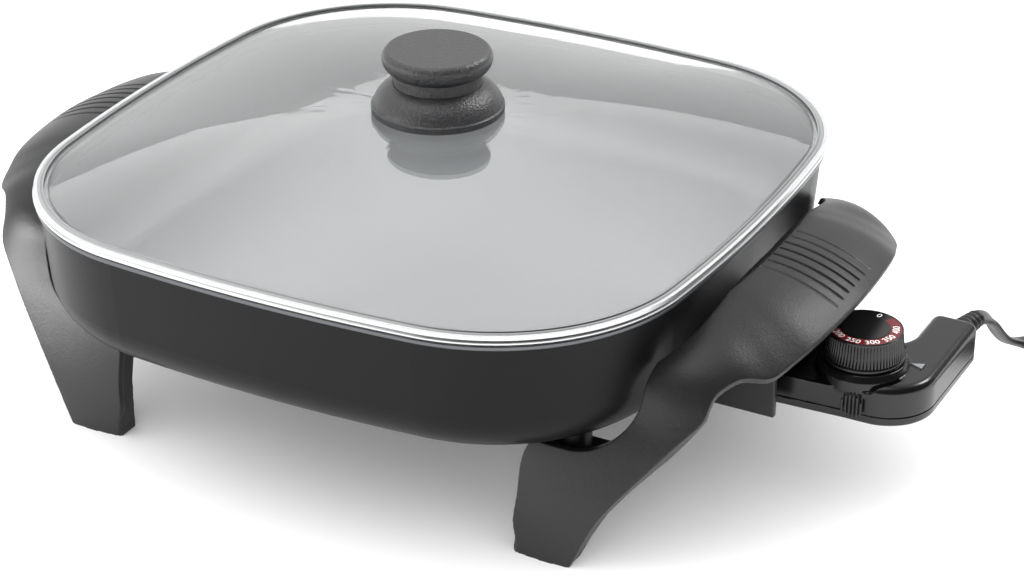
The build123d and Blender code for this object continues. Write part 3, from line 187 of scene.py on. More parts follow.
# ---- Lead --------------------------------------------------------------------------------------
# Flat two-core lead in soft PVC: two round cores side by side with a groove between them. It comes out
# of the control's end, drops to the table, and its spare length lies in a coil of four turns.
pan_low, pan_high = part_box("pan")
AXIS_X = (pan_low.x + pan_high.x) / 2  # the pan's middle, which the control's sizes are counted from
EXIT = Vector((AXIS_X + 227.4 * MM, 57.0 * MM, 55.3 * MM))
LEAD_WIDTH = 6.6 * MM
LEAD_THICK = 3.5 * MM
LEAD_ROUTE = [  # X and Y from the exit, Z above the table
    (2.2, 14.0, 54.6),
    (2.8, 27.0, 49.3),
    (2.9, 41.0, 35.4),
    (3.2, 55.0, 23.8),
    (4.0, 70.0, 15.4),
    (6.0, 84.0, 8.8),
    (9.8, 96.0, 4.9),
    (16.1, 107.0, 4.0),
]
COIL_MIDDLE = Vector((EXIT.x + 46.6 * MM, EXIT.y + 104.0 * MM, 0))
COIL_START = radians(164.0)  # where the lead joins the coil, and how far it then runs round, clockwise
COIL_SWEEP = radians(164.0 + 3 * 360)
COIL_INNER = 31.2 * MM
COIL_OUTER = 35.2 * MM
COIL_LOW = 3.4 * MM
COIL_HIGH = 10.2 * MM
POINTS_A_TURN = 16
PLUG_ENTRY = Vector((EXIT.x + 81.6 * MM, EXIT.y + 87.0 * MM, 8.0 * MM))
LEAVING_LEAN = radians(62)  # how far the lead leans where it leaves the relief
LEAN_GONE = (0.02, 0.35)  # share of its drop over which that lean goes
COIL_NEAR = (36 * MM, 58 * MM)  # distance from the coil's middle over which it turns on edge
LEAD_BLACK = "#161617"
LEAD_GRAIN = 0.5 * MM


def eased(value, low, high):
    """0 before low, 1 after high, and smooth in between."""
    share = min(1.0, max(0.0, (value - low) / (high - low)))
    return share * share * (3 - 2 * share)


def coil_point(turns):
    """Middle of the lead after so many turns: inside and outside below, then inside and outside above."""
    angle = COIL_START - turns * 2 * pi
    out = eased(turns, 0.9, 1.1) - eased(turns, 1.75, 1.95) + eased(turns, 2.6, 2.8)
    up = eased(turns, 1.7, 2.0)
    radius = COIL_INNER + (COIL_OUTER - COIL_INNER) * out
    height = COIL_LOW + (COIL_HIGH - COIL_LOW) * up
    return COIL_MIDDLE + Vector((radius * cos(angle), radius * sin(angle), height))


def smooth_line(points):
    """Points along the smooth curve that has these as its control points."""
    curve = bpy.data.curves.new("line", "CURVE")
    curve.dimensions = "3D"
    spline = curve.splines.new("NURBS")
    spline.points.add(len(points) - 1)
    for knot, point in zip(spline.points, points):
        knot.co = (*point, 1)
    spline.order_u = 3
    spline.use_endpoint_u = True
    curve.resolution_u = 5
    holder = bpy.data.objects.new("line", curve)
    bpy.context.scene.collection.objects.link(holder)
    bpy.context.view_layer.update()
    line = [vertex.co.copy() for vertex in bpy.data.meshes.new_from_object(holder).vertices]
    bpy.data.objects.remove(holder)
    return line


def piece_of(name, mesh_maker, material, body, smooth_angle=40.0):
    """Object made by filling a bmesh, smooth except at sharp edges, that rides on a body."""
    shape = bmesh.new()
    mesh_maker(shape)
    bmesh.ops.recalc_face_normals(shape, faces=shape.faces)
    mesh = bpy.data.meshes.new(name)
    shape.to_mesh(mesh)
    shape.free()
    mesh.materials.append(material)
    mesh.shade_smooth()
    mesh.set_sharp_from_angle(angle=radians(smooth_angle))
    piece = bpy.data.objects.new(name, mesh)
    bpy.context.scene.collection.objects.link(piece)
    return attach(piece, body)


def skin(shape, rings, capped=True, closed=False):
    """Join rings of as many points each into a skin, with both ends capped or the last joined to the first."""
    rows = [[shape.verts.new(point) for point in ring] for ring in rings]
    pairs = list(zip(rows, rows[1:] + rows[:1])) if closed else list(zip(rows, rows[1:]))
    for near, far in pairs:
        for i in range(len(near)):
            j = (i + 1) % len(near)
            shape.faces.new((near[i], near[j], far[j], far[i]))
    if capped and not closed:
        shape.faces.new(rows[0][::-1])
        shape.faces.new(rows[-1])


def lead_section():
    """Outline of the lead as (across, through) points: two cores with a groove on each side."""
    core = LEAD_THICK / 2
    middle = LEAD_WIDTH / 2 - core
    ends = [(1, a) for a in range(-110, 111, 20)] + [(-1, a) for a in range(70, 291, 20)]
    return [(side * middle + core * cos(radians(a)), core * sin(radians(a))) for side, a in ends]


def lead_rings(line, lean):
    """Section of the lead at each point of the line. `lean` gives its turn from lying flat there."""
    rings = []
    for i, point in enumerate(line):
        ahead = (line[min(i + 1, len(line) - 1)] - line[max(i - 1, 0)]).normalized()
        side = ahead.cross(Vector((0, 0, 1))).normalized()
        angle = lean(point)
        across = Matrix.Rotation(angle, 3, ahead) @ side
        through = ahead.cross(across)
        rings.append([point + across * a + through * t for a, t in lead_section()])
    return rings


def lead_lean(point):
    """The lead leaves the relief leaning, turns flat on its way down and stands on edge in the coil."""
    down = 1 - min(1.0, max(0.0, (point.z - COIL_LOW) / (EXIT.z - COIL_LOW)))
    leaving = LEAVING_LEAN * (1 - eased(down, *LEAN_GONE))
    apart = (point - COIL_MIDDLE).xy.length
    coiled = radians(90) * (1 - eased(apart, *COIL_NEAR))
    return leaving + coiled


exit_points = [EXIT + Vector((x * MM, y * MM, z * MM - EXIT.z)) for x, y, z in LEAD_ROUTE]
coil_turns = COIL_SWEEP / (2 * pi)
coil_count = round(coil_turns * POINTS_A_TURN)
coil_points = [coil_point(coil_turns * i / coil_count) for i in range(1, coil_count + 1)]
lead_end = [PLUG_ENTRY + Vector((0, 8 * MM, 0.8 * MM)), PLUG_ENTRY - Vector((0, 1 * MM, 0))]
lead_line = smooth_line(exit_points + coil_points + lead_end)


def vary_roughness(shader, pattern, low, high):
    """Sheen that changes over the surface with a pattern of 0 to 1."""
    tree = shader.id_data
    worn = add(tree, "MapRange", {"Value": pattern, "To Min": low, "To Max": high})
    tree.links.new(worn.outputs["Result"], shader.inputs["Roughness"])


# The PVC is soft and a little greasy, so its sheen is broken and never sharp.
lead_pvc, tree, shader, place = finish_of("soft_black_pvc", Base_Color=linear(LEAD_BLACK), Roughness=0.42)
grain = add(tree, "TexNoise", {"Vector": place, "Scale": 1 / LEAD_GRAIN, "Detail": 3.0})
vary_roughness(shader, grain.outputs["Fac"], 0.36, 0.5)
dent(shader, grain.outputs["Fac"], 0.4, 0.02 * MM)
lead = piece_of("flat_lead", lambda shape: skin(shape, lead_rings(lead_line, lead_lean)), lead_pvc, "control")
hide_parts("power_cord", "cord_coil")

# ---- Strain relief -----------------------------------------------------------------------------
# Moulded PVC sleeve on the lead: four ribs that get smaller towards the tip, held in the housing's wall.
RELIEF_RIBS = 4
RELIEF_ROOT_RADIUS = 5.3 * MM
RELIEF_TIP_RADIUS = 4.3 * MM
RELIEF_RIB_DEPTH = 1.1 * MM
RELIEF_FLATTER = 0.86  # its height, as a share of its width
RELIEF_STEPS = 60
RIB_ROUND = 0.45  # the ribs' profile: under 1 makes them full, with narrow grooves
ROOT_DEEP = 4 * MM  # how far the relief reaches into the housing's wall
ROOT_SHARE = 0.75  # its width there
RING_POINTS = 40


def relief_radius(share):
    """Radius along the relief, where 0 is at the housing and 1 at the tip."""
    swell = RELIEF_ROOT_RADIUS + (RELIEF_TIP_RADIUS - RELIEF_ROOT_RADIUS) * share
    ribbed = (0.5 - 0.5 * cos(2 * pi * RELIEF_RIBS * share)) ** RIB_ROUND if share < 1 else 0.0
    return swell - RELIEF_RIB_DEPTH * (1 - ribbed)


def relief_rings():
    """Rings from inside the wall, over the ribs, to the small neck where the lead comes out."""
    start, tip = EXIT, lead_line[0]
    ahead = (tip - start).normalized()
    side = ahead.cross(Vector((0, 0, 1))).normalized()
    up = side.cross(ahead)
    rings = []
    for i in range(RELIEF_STEPS + 1):
        share = i / RELIEF_STEPS
        radius = relief_radius(share)
        middle = start + (tip - start) * share
        angles = [2 * pi * k / RING_POINTS for k in range(RING_POINTS)]
        rings.append([middle + side * radius * cos(a) + up * radius * RELIEF_FLATTER * sin(a) for a in angles])
    inside = start - ahead * ROOT_DEEP
    root = [inside + (point - start) * ROOT_SHARE for point in rings[0]]
    return [root] + rings


relief = piece_of("strain_relief", lambda shape: skin(shape, relief_rings()), lead_pvc, "control")
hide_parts("cord_relief")

# ---- Mains plug --------------------------------------------------------------------------------
# Two-pin plug moulded onto the lead in the same PVC, with finger ridges on both broad sides and two
# flat nickel-plated brass blades.
plug_low, plug_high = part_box("mains_plug")
PLUG_TAIL = 13.0 * MM
PLUG_RIDGES = 5
PLUG_RIDGE = 0.45 * MM
PLUG_SHAPE = 4.5  # how square its section is
TAIL_RADIUS = 4.9 * MM
TAIL_TAPER = 0.9 * MM
TAIL_WAVE = 0.5 * MM
TAIL_WAVES = 4
BLADE_NICKEL = "#c9c6bd"
plug_middle = (plug_low + plug_high) / 2
plug_half = (plug_high - plug_low) / 2


def plug_rings():
    """Rings from the front face to the end of the tapered tail."""
    body_end = plug_high.y - PLUG_TAIL
    rings = []
    for i in range(49):
        y = plug_low.y + (body_end - plug_low.y) * i / 48
        share = i / 48
        end_round = 1 - 0.09 * (1 - min(1.0, share / 0.06)) ** 2 - 0.22 * max(0.0, (share - 0.82) / 0.18) ** 2
        wave = (0.5 - 0.5 * cos(2 * pi * PLUG_RIDGES * share)) * eased(share, 0.1, 0.2)
        ridge = 1 - PLUG_RIDGE / plug_half.z * wave
        rings.append((y, plug_half.x * end_round, plug_half.z * end_round * ridge, PLUG_SHAPE))
    for i in range(1, 33):
        share = i / 32
        wave = TAIL_WAVE * (0.5 - 0.5 * cos(2 * pi * TAIL_WAVES * share))
        radius = TAIL_RADIUS - TAIL_TAPER * share - wave
        rings.append((body_end + PLUG_TAIL * share, radius, radius, 2.0))
    out = []
    for y, half_x, half_z, square in rings:
        ring = []
        for k in range(RING_POINTS):
            c, s = cos(2 * pi * k / RING_POINTS), sin(2 * pi * k / RING_POINTS)
            size = (abs(c) ** square + abs(s) ** square) ** (-1 / square)
            ring.append(Vector((plug_middle.x + half_x * c * size, y, plug_middle.z + half_z * s * size)))
        out.append(ring)
    return out


plug = piece_of("moulded_plug", lambda shape: skin(shape, plug_rings()), lead_pvc, "control")
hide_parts("mains_plug")

# Nickel over drawn brass: a warm grey with lines along the blades that draw the highlight out.
nickel, tree, shader, place = finish_of(
    "plated_brass", Base_Color=linear(BLADE_NICKEL), Metallic=1.0, Roughness=0.28)
drawn = add(tree, "Mapping", {"Vector": place, "Scale": (1.0, 0.08, 1.0)})
lines = add(tree, "TexNoise", {"Vector": drawn.outputs["Vector"], "Scale": 1 / (0.3 * MM), "Detail": 2.0})
vary_roughness(shader, lines.outputs["Fac"], 0.2, 0.38)


def refinish(node, *materials):
    """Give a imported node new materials. Its shape stays."""
    nodes[node].data.materials.clear()
    for material in materials:
        nodes[node].data.materials.append(material)


refinish("plug_prongs", nickel)

# ---- Pan ---------------------------------------------------------------------------------------
# Die-cast aluminium. Outside it has a baked black coat, slightly pebbled by the casting under it; inside
# a light grey release coat, sprayed and cured, with a soft sheen.
OUTER_BLACK = "#0c0c0d"
INNER_GREY = "#909193"
INNER_SPECKS = ("#8a8b8d", "#98999b")
FLOOR_CLEAR = 2 * MM  # faces lower than this over the element belong to the outside
CAST_PEBBLE = 0.9 * MM
SPRAY_SPECK = 0.6 * MM
LIP_LOW = 108.6 * MM  # faces above this are on the lip
# Lighter grey of the lip, painted in as a highlight line.
LIP_HIGHLIGHT_GREY = "#626366"

outer_coat, tree, shader, place = finish_of(
    "baked_black_coat", Base_Color=linear(OUTER_BLACK), Roughness=0.36, Specular_IOR_Level=0.16)
pebble = add(tree, "TexNoise", {"Vector": place, "Scale": 1 / CAST_PEBBLE, "Detail": 3.0})
cloud = add(tree, "TexNoise", {"Vector": place, "Scale": 1 / (40 * MM), "Detail": 1.0})
vary_roughness(shader, cloud.outputs["Fac"], 0.32, 0.42)
dent(shader, pebble.outputs["Fac"], 0.35, 0.03 * MM)


def vary_colour(shader, pattern, first, second):
    """Colour that changes over the surface with a pattern of 0 to 1."""
    tree = shader.id_data
    tone = add(tree, "MixRGB", {"Fac": pattern, "Color1": linear(first), "Color2": linear(second)})
    tree.links.new(tone.outputs["Color"], shader.inputs["Base Color"])


inner_coat, tree, shader, place = finish_of("grey_release_coat", Base_Color=linear(INNER_GREY), Roughness=0.38)
speck = add(tree, "TexNoise", {"Vector": place, "Scale": 1 / SPRAY_SPECK, "Detail": 2.0})
vary_colour(shader, speck.outputs["Fac"], *INNER_SPECKS)
dent(shader, speck.outputs["Fac"], 0.3, 0.02 * MM)

# Painted highlight: the black-coated lip gets a lighter, bare-metal finish so that it shows as the bright line
# of an edge catching the light.
lip_highlight_metal, tree, shader, place = finish_of(
    "painted_lip_highlight", Base_Color=linear(LIP_HIGHLIGHT_GREY), Metallic=1.0, Roughness=0.33)
along = add(tree, "Mapping", {"Vector": place, "Scale": (0.1, 0.1, 1.0)})
lip_highlight_streaks = add(tree, "TexNoise", {"Vector": along.outputs["Vector"], "Scale": 1 / (0.6 * MM), "Detail": 2.0})
vary_roughness(shader, lip_highlight_streaks.outputs["Fac"], 0.26, 0.42)

refinish("pan", outer_coat, inner_coat, lip_highlight_metal)
floor_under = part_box("heating_element")[1].z
for face in nodes["pan"].data.polygons:
    middle, normal = face.center, face.normal
    inward = normal.x * (middle.x - AXIS_X) + normal.y * middle.y < 0
    inside = middle.z > floor_under + FLOOR_CLEAR and (normal.z > 0.5 or inward)
    # Faces on the lip's outside take the painted-highlight finish; the others take the outside coat or the
    # inside coat.
    face.material_index = 2 if middle.z > LIP_LOW and not inward else int(inside)

# ---- Heating element and its terminals ---------------------------------------------------------
# Steel-sheathed tube cast into the pan's ridge, blued by heat; plated steel pins in ceramic beads.
SHEATH_STEEL = "#6d675f"
SHEATH_BLUED = "#4b4440"
CERAMIC_WHITE = "#e6e1d6"
CERAMIC_CHALK = ("#dcd6c9", "#ece8df")

sheath, tree, shader, place = finish_of(
    "heat_blued_steel", Base_Color=linear(SHEATH_STEEL), Metallic=1.0, Roughness=0.4)
stain = add(tree, "TexNoise", {"Vector": place, "Scale": 1 / (9 * MM), "Detail": 3.0})
vary_colour(shader, stain.outputs["Fac"], SHEATH_STEEL, SHEATH_BLUED)
refinish("heating_element", sheath)
refinish("terminal_pins", nickel)

ceramic, tree, shader, place = finish_of("steatite_bead", Base_Color=linear(CERAMIC_WHITE), Roughness=0.55)
chalk = add(tree, "TexNoise", {"Vector": place, "Scale": 1 / (0.8 * MM), "Detail": 3.0})
vary_colour(shader, chalk.outputs["Fac"], *CERAMIC_CHALK)
refinish("terminal_insulators", ceramic)

# ---- Handle frames and terminal guard ----------------------------------------------------------
# Compression-moulded phenolic: hard, black and satin, with a fine grain from the mould and edges rounded
# by it. Each frame is one moulding; the guard is a separate trough screwed to the pan.
PHENOLIC_BLACK = "#0a0a0b"
PHENOLIC_DUSTY = "#1e1e1f"
MOULD_GRAIN = 0.9 * MM  # coarser than the mould's own grain, so that it shows
SKIN_STEP = 0.4 * MM  # grid that the rounded skin is made on
EDGE_PASSES = 4
FACES_KEPT = 0.45

phenolic, tree, shader, place = finish_of("moulded_phenolic", Base_Color=linear(PHENOLIC_BLACK), Roughness=0.4)
grain = add(tree, "TexNoise", {"Vector": place, "Scale": 1 / MOULD_GRAIN, "Detail": 4.0, "Roughness": 0.6})
vary_colour(shader, grain.outputs["Fac"], PHENOLIC_BLACK, PHENOLIC_DUSTY)
vary_roughness(shader, grain.outputs["Fac"], 0.33, 0.5)
dent(shader, grain.outputs["Fac"], 0.9, 0.12 * MM)


def moulded_mesh(node, step, passes, kept):
    """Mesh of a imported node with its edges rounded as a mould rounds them."""
    rough = bpy.data.objects.new("rough", nodes[node].data.copy())
    bpy.context.scene.collection.objects.link(rough)
    grid = rough.modifiers.new("grid", "REMESH")
    grid.mode, grid.voxel_size = "VOXEL", step
    rounding = rough.modifiers.new("rounding", "SMOOTH")
    rounding.factor, rounding.iterations = 0.5, passes
    thinning = rough.modifiers.new("thinning", "DECIMATE")
    thinning.ratio = kept
    mesh = bpy.data.meshes.new_from_object(rough.evaluated_get(bpy.context.evaluated_depsgraph_get()))
    bpy.data.objects.remove(rough)
    return mesh


def moulding(name, mesh, material, node, body):
    """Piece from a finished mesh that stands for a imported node."""
    mesh.materials.clear()
    mesh.materials.append(material)
    mesh.shade_smooth()
    piece = bpy.data.objects.new(name, mesh)
    bpy.context.scene.collection.objects.link(piece)
    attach(piece, body)
    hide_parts(node)
    return piece


right_mesh = moulded_mesh("handle_right", SKIN_STEP, EDGE_PASSES, FACES_KEPT)
left_mesh = right_mesh.copy()
left_mesh.transform(Matrix.Translation((2 * AXIS_X, 0, 0)) @ Matrix.Scale(-1, 4, (1, 0, 0)))
left_mesh.flip_normals()
moulding("right_frame", right_mesh, phenolic, "handle_right", "skillet")
left_frame = moulding("left_frame", left_mesh, phenolic, "handle_left", "skillet")
guard_mesh = moulded_mesh("terminal_guard", SKIN_STEP, EDGE_PASSES, FACES_KEPT)
moulding("guard_trough", guard_mesh, phenolic, "terminal_guard", "skillet")

# ---- Screws and washers ------------------------------------------------------------------------
# Zinc-plated steel: bright, slightly blue, with faint blotches in the plating.
ZINC_BRIGHT = "#a6a8ab"
ZINC_DULL = "#8c8f93"

zinc, tree, shader, place = finish_of(
    "zinc_plated_steel", Base_Color=linear(ZINC_BRIGHT), Metallic=1.0, Roughness=0.35)
blotch = add(tree, "TexNoise", {"Vector": place, "Scale": 1 / (2 * MM), "Detail": 3.0})
vary_colour(shader, blotch.outputs["Fac"], ZINC_BRIGHT, ZINC_DULL)
vary_roughness(shader, blotch.outputs["Fac"], 0.25, 0.45)
for node in ("guard_screws", "handle_screws", "handle_washers", "lid_screw", "lid_washer", "control_screws"):
    refinish(node, zinc)

# ---- Lid: glass and band -----------------------------------------------------------------------
# Tempered soda-lime glass, pressed to a low dome. A stainless band is rolled round its edge and polished.
GLASS_TINT = "#fdfefe"
GLASS_ROUGH = 0.015
STEEL_BRIGHT = "#cdcecf"
POLISH_LINE = 0.45 * MM

glass, tree, shader, place = finish_of(
    "tempered_glass", Base_Color=linear(GLASS_TINT), Roughness=GLASS_ROUGH, IOR=1.5, Transmission_Weight=1.0)
wave = add(tree, "TexNoise", {"Vector": place, "Scale": 1 / (70 * MM), "Detail": 1.0})
dent(shader, wave.outputs["Fac"], 0.2, 0.2 * MM)
refinish("lid_glass", glass)

# Polished round the band, so its lines run along it and the highlight spreads across them.
band_steel, tree, shader, place = finish_of(
    "polished_stainless", Base_Color=linear(STEEL_BRIGHT), Metallic=1.0, Roughness=0.32)
flatter = add(tree, "Mapping", {"Vector": place, "Scale": (0.05, 0.05, 1.0)})
lines = add(tree, "TexNoise", {"Vector": flatter.outputs["Vector"], "Scale": 1 / POLISH_LINE, "Detail": 2.0})
vary_roughness(shader, lines.outputs["Fac"], 0.26, 0.4)


# The band's section as (distance in from its outer edge, height over its foot): a small rolled bead on the
# glass, a groove, the round crown, then the skirt that centres the lid in the pan.
SIDE_BOW = 792.0 * MM
CORNER_RADIUS = 88.0 * MM
SIDE_STEPS = 8
CORNER_STEPS = 28
BAND_OVER = 0.6 * MM  # the band stands out this far past the pan's lip
BAND_FOOT_Z = 111.5 * MM
BAND_SECTION = (
    (4.95, 3.45), (5.0, 3.75), (4.86, 4.02), (4.6, 4.12), (4.34, 4.02), (4.18, 3.8), (4.08, 3.58),
    (3.95, 3.5), (3.8, 3.52), (3.7, 3.64), (3.55, 3.84), (3.3, 3.93), (2.95, 3.86), (2.5, 3.68),
    (2.0, 3.4), (1.55, 3.06), (1.12, 2.66), (0.75, 2.24), (0.44, 1.78), (0.2, 1.3), (0.04, 0.85),
    (0.06, 0.5), (0.24, 0.16), (0.6, 0.0), (4.5, 0.0), (4.5, -3.6), (5.0, -3.6), (5.0, 0.5), (0.6, 0.5),
    (0.6, 3.5),
)


def lip_plan():
    """Points round the pan's lip with the direction straight out at each, on tangent arcs."""
    half = (pan_high.x - pan_low.x) / 2
    turn = acos((SIDE_BOW - half) / (SIDE_BOW - CORNER_RADIUS) / 2 ** 0.5) - pi / 4
    middle = (SIDE_BOW - CORNER_RADIUS) * sin(turn)
    arcs = [  # middle x and y, radius, first and last angle, steps
        (half - SIDE_BOW, 0, SIDE_BOW, 0, turn, SIDE_STEPS),
        (middle, middle, CORNER_RADIUS, turn, pi / 2 - turn, CORNER_STEPS),
        (0, half - SIDE_BOW, SIDE_BOW, pi / 2 - turn, pi / 2, SIDE_STEPS),
    ]
    plan = []
    for quarter in range(4):
        spin = Matrix.Rotation(quarter * pi / 2, 3, "Z")
        for x, y, radius, first, last, steps in arcs:
            for k in range(steps):
                angle = first + (last - first) * k / steps
                way = Vector((cos(angle), sin(angle), 0))
                plan.append((spin @ (Vector((x, y, 0)) + way * radius), spin @ way))
    return plan


def band_skin(shape):
    """The band's section carried round the lid."""
    rings = []
    for point, way in lip_plan():
        edge = point + way * BAND_OVER + Vector((AXIS_X, 0, BAND_FOOT_Z))
        rings.append([edge - way * a * MM + Vector((0, 0, z * MM)) for a, z in BAND_SECTION])
    skin(shape, rings, closed=True)


band = piece_of("rolled_band", band_skin, band_steel, "lid", smooth_angle=55)
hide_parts("lid_rim")

# ---- Knob --------------------------------------------------------------------------------------
# Black phenolic in two parts, a flared base and a mushroom knob, both grained by a blasted mould, with a
# silicone washer between base and glass.
KNOB_BLACK = "#0a0a0b"
KNOB_DUSTY = "#343436"
KNOB_GRAIN = 0.9 * MM  # coarser than the blasted mould's own grain, so that it shows
SILICONE_CLEAR = "#c9c9c4"

knob_black, tree, shader, place = finish_of(
    "blasted_phenolic", Base_Color=linear(KNOB_BLACK), Roughness=0.42, Specular_IOR_Level=0.95)
grain = add(tree, "TexVoronoi", {"Vector": place, "Scale": 1 / KNOB_GRAIN})
vary_colour(shader, grain.outputs["Distance"], KNOB_BLACK, KNOB_DUSTY)
vary_roughness(shader, grain.outputs["Distance"], 0.34, 0.5)
dent(shader, grain.outputs["Distance"], 1.0, 0.16 * MM)
refinish("lid_knob", knob_black)
refinish("knob_base", knob_black)

silicone, tree, shader, place = finish_of("clear_silicone", Base_Color=linear(SILICONE_CLEAR), Roughness=0.5)
soft = add(tree, "TexNoise", {"Vector": place, "Scale": 1 / (1.2 * MM)})
vary_roughness(shader, soft.outputs["Fac"], 0.4, 0.6)
refinish("lid_gasket", silicone)

# ---- Temperature control: housing --------------------------------------------------------------
# Injection-moulded black plastic in two halves: glossy rounded edges, a fine grain on the flat top.
HOUSING_BLACK = "#0d0d0e"
HOUSING_GRAIN = 0.4 * MM
HOUSING_STEP = 0.45 * MM
HOUSING_PASSES = 2
TOP_KEPT = 0.4
BASE_KEPT = 0.3

housing, tree, shader, place = finish_of(
    "moulded_black_plastic", Base_Color=linear(HOUSING_BLACK), Roughness=0.24)
grain = add(tree, "TexNoise", {"Vector": place, "Scale": 1 / HOUSING_GRAIN, "Detail": 3.0})
vary_roughness(shader, grain.outputs["Fac"], 0.18, 0.3)
dent(shader, grain.outputs["Fac"], 0.3, 0.02 * MM)
moulding(
    "housing_top", moulded_mesh("control_top", HOUSING_STEP, HOUSING_PASSES, TOP_KEPT), housing,
    "control_top", "control")
moulding(
    "housing_base", moulded_mesh("control_base", HOUSING_STEP, HOUSING_PASSES, BASE_KEPT), housing,
    "control_base", "control")

# ---- Temperature control: grip patch ------------------------------------------------------------
# Oval pad of upright ribs moulded on each side of the snout, where finger and thumb pull the control out.
PATCH_MIDDLE_X = AXIS_X + 207.0 * MM
PATCH_MIDDLE_Z = 50.1 * MM
PATCH_HALF = (5.0 * MM, 5.6 * MM)
PATCH_RIBS = 6
RIB_PROUD = 0.4 * MM
RIB_SUNK = 0.4 * MM
RIB_FILL = 0.62  # width of a rib, as a share of the ribs' pitch
snout_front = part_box("control_top")[0].y


def ribbed_patch(shape):
    """Half-round ribs of an oval pad on the front side, each as tall as the oval is there."""
    pitch = 2 * PATCH_HALF[0] / PATCH_RIBS
    for k in range(PATCH_RIBS):
        x = (k + 0.5) * pitch - PATCH_HALF[0]
        tall = PATCH_HALF[1] * (1 - (x / PATCH_HALF[0]) ** 2) ** 0.5
        rings = []
        for j in range(13):
            share = j / 6 - 1
            proud = RIB_PROUD * (1 - share ** 4)
            arc = [pi * m / 8 for m in range(9)]
            points = [(cos(a) * pitch * RIB_FILL / 2, -sin(a) * proud) for a in arc]
            points += [(-pitch * RIB_FILL / 2, RIB_SUNK), (pitch * RIB_FILL / 2, RIB_SUNK)]
            z = PATCH_MIDDLE_Z + share * tall
            rings.append([(PATCH_MIDDLE_X + x + a, snout_front + d, z) for a, d in points])
        skin(shape, rings)


patch = piece_of("grip_patch", ribbed_patch, housing, "control")

# ---- Temperature control: works ----------------------------------------------------------------
# Stainless probe tube, spring-brass sockets and blades, silver contacts, and a block of phenolic resin.
SPRING_BRASS = "#c7a455"

refinish("probe_tube", band_steel)
brass, tree, shader, place = finish_of(
    "spring_brass", Base_Color=linear(SPRING_BRASS), Metallic=1.0, Roughness=0.32)
blotch = add(tree, "TexNoise", {"Vector": place, "Scale": 1 / (2 * MM), "Detail": 2.0})
vary_roughness(shader, blotch.outputs["Fac"], 0.22, 0.42)
refinish("terminal_sockets", brass)
refinish("thermostat_blades", brass)
refinish("thermostat_contacts", nickel)
refinish("contact_block", phenolic)

# ---- Pointer lens and pilot lamp ---------------------------------------------------------------
# Clear grey wedge let into the top, over a small neon lamp.
LENS_GREY = "#8d9092"
NEON_ROSE = "#e9b59a"

lens, tree, shader, place = finish_of(
    "clear_styrene", Base_Color=linear(LENS_GREY), Roughness=0.2, IOR=1.58, Transmission_Weight=0.35)
prism = add(tree, "TexNoise", {"Vector": place, "Scale": 1 / (0.7 * MM)})
vary_roughness(shader, prism.outputs["Fac"], 0.12, 0.35)
refinish("pointer_lens", lens)

lamp, tree, shader, place = finish_of("neon_glass", Base_Color=linear(NEON_ROSE), Roughness=0.1, IOR=1.5)
soft = add(tree, "TexNoise", {"Vector": place, "Scale": 1 / (1.0 * MM)})
vary_roughness(shader, soft.outputs["Fac"], 0.05, 0.2)
refinish("pilot_lamp", lamp)

# ---- Dial --------------------------------------------------------------------------------------
# Black plastic cap with fine flutes round its side. A printed ring lies in its top round a plain black
# disc: dark red with white numbers over the heating range, black where the dial is off.
dial_low, dial_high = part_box("dial_knob")
DIAL_AXIS = Vector(((dial_low.x + dial_high.x) / 2, 0, 0))
DIAL_RADIUS = (dial_high.x - dial_low.x) / 2
DIAL_TOP_RADIUS = 16.0 * MM
DIAL_SEAT_RADIUS = 15.2 * MM
DIAL_SEAT = 0.6 * MM
DIAL_SKIRT = 1.6 * MM  # smooth foot under the flutes
DIAL_FLUTES = 72
FLUTE_DEPTH = 0.45 * MM
FLUTE_POINTS = 8
FLUTE_ROUND = 0.7  # under 1 makes the ridges full, with narrow grooves
CAP_EDGE = 0.35 * MM  # rounding of the rim


def dial_ring(radius, z, depth):
    """Ring round the dial's axis with flutes of a depth."""
    count = DIAL_FLUTES * FLUTE_POINTS
    ring = []
    for k in range(count):
        groove = abs(sin(pi * k / FLUTE_POINTS)) ** FLUTE_ROUND
        reach = radius - depth * (1 - groove)
        angle = 2 * pi * k / count
        ring.append(DIAL_AXIS + Vector((reach * cos(angle), reach * sin(angle), z)))
    return ring


def dial_cap(shape):
    """Foot, fluted side, rounded rim and the sunk top."""
    foot, top = dial_low.z, dial_high.z
    slope = (DIAL_RADIUS - DIAL_TOP_RADIUS) / (top - foot)
    side = [(foot + DIAL_SKIRT + 0.3 * MM, 0.0), (foot + DIAL_SKIRT + 0.6 * MM, FLUTE_DEPTH)]
    side += [(top - 1.5 * MM, FLUTE_DEPTH), (top - 1.0 * MM, 0.0)]
    rings = [dial_ring(DIAL_RADIUS - 0.2 * MM, foot, 0), dial_ring(DIAL_RADIUS, foot + 0.2 * MM, 0)]
    rings.append(dial_ring(DIAL_RADIUS, foot + DIAL_SKIRT, 0))
    rings += [dial_ring(DIAL_RADIUS - 0.15 * MM - slope * (z - foot), z, depth) for z, depth in side]
    for angle in (0, 30, 60, 90):
        radius = DIAL_TOP_RADIUS - CAP_EDGE + CAP_EDGE * cos(radians(angle))
        rings.append(dial_ring(radius, top - CAP_EDGE + CAP_EDGE * sin(radians(angle)), 0))
    rings.append(dial_ring(DIAL_SEAT_RADIUS, top, 0))
    rings.append(dial_ring(DIAL_SEAT_RADIUS, top - DIAL_SEAT, 0))
    skin(shape, rings)


dial = piece_of("fluted_dial", dial_cap, housing, "dial", smooth_angle=50)
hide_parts("dial_knob")
refinish("dial_shaft", housing)
refinish("dial_disc", housing)

# The ring's two colours, each a flat arc with its own print.
DIAL_RED = "#620710"
DIAL_RED_WORN = "#50060c"
RING_THICK = 0.5 * MM
RING_INNER = 10.6 * MM
RED_FROM, RED_TO = -150, 62  # degrees round the dial, counted from +X

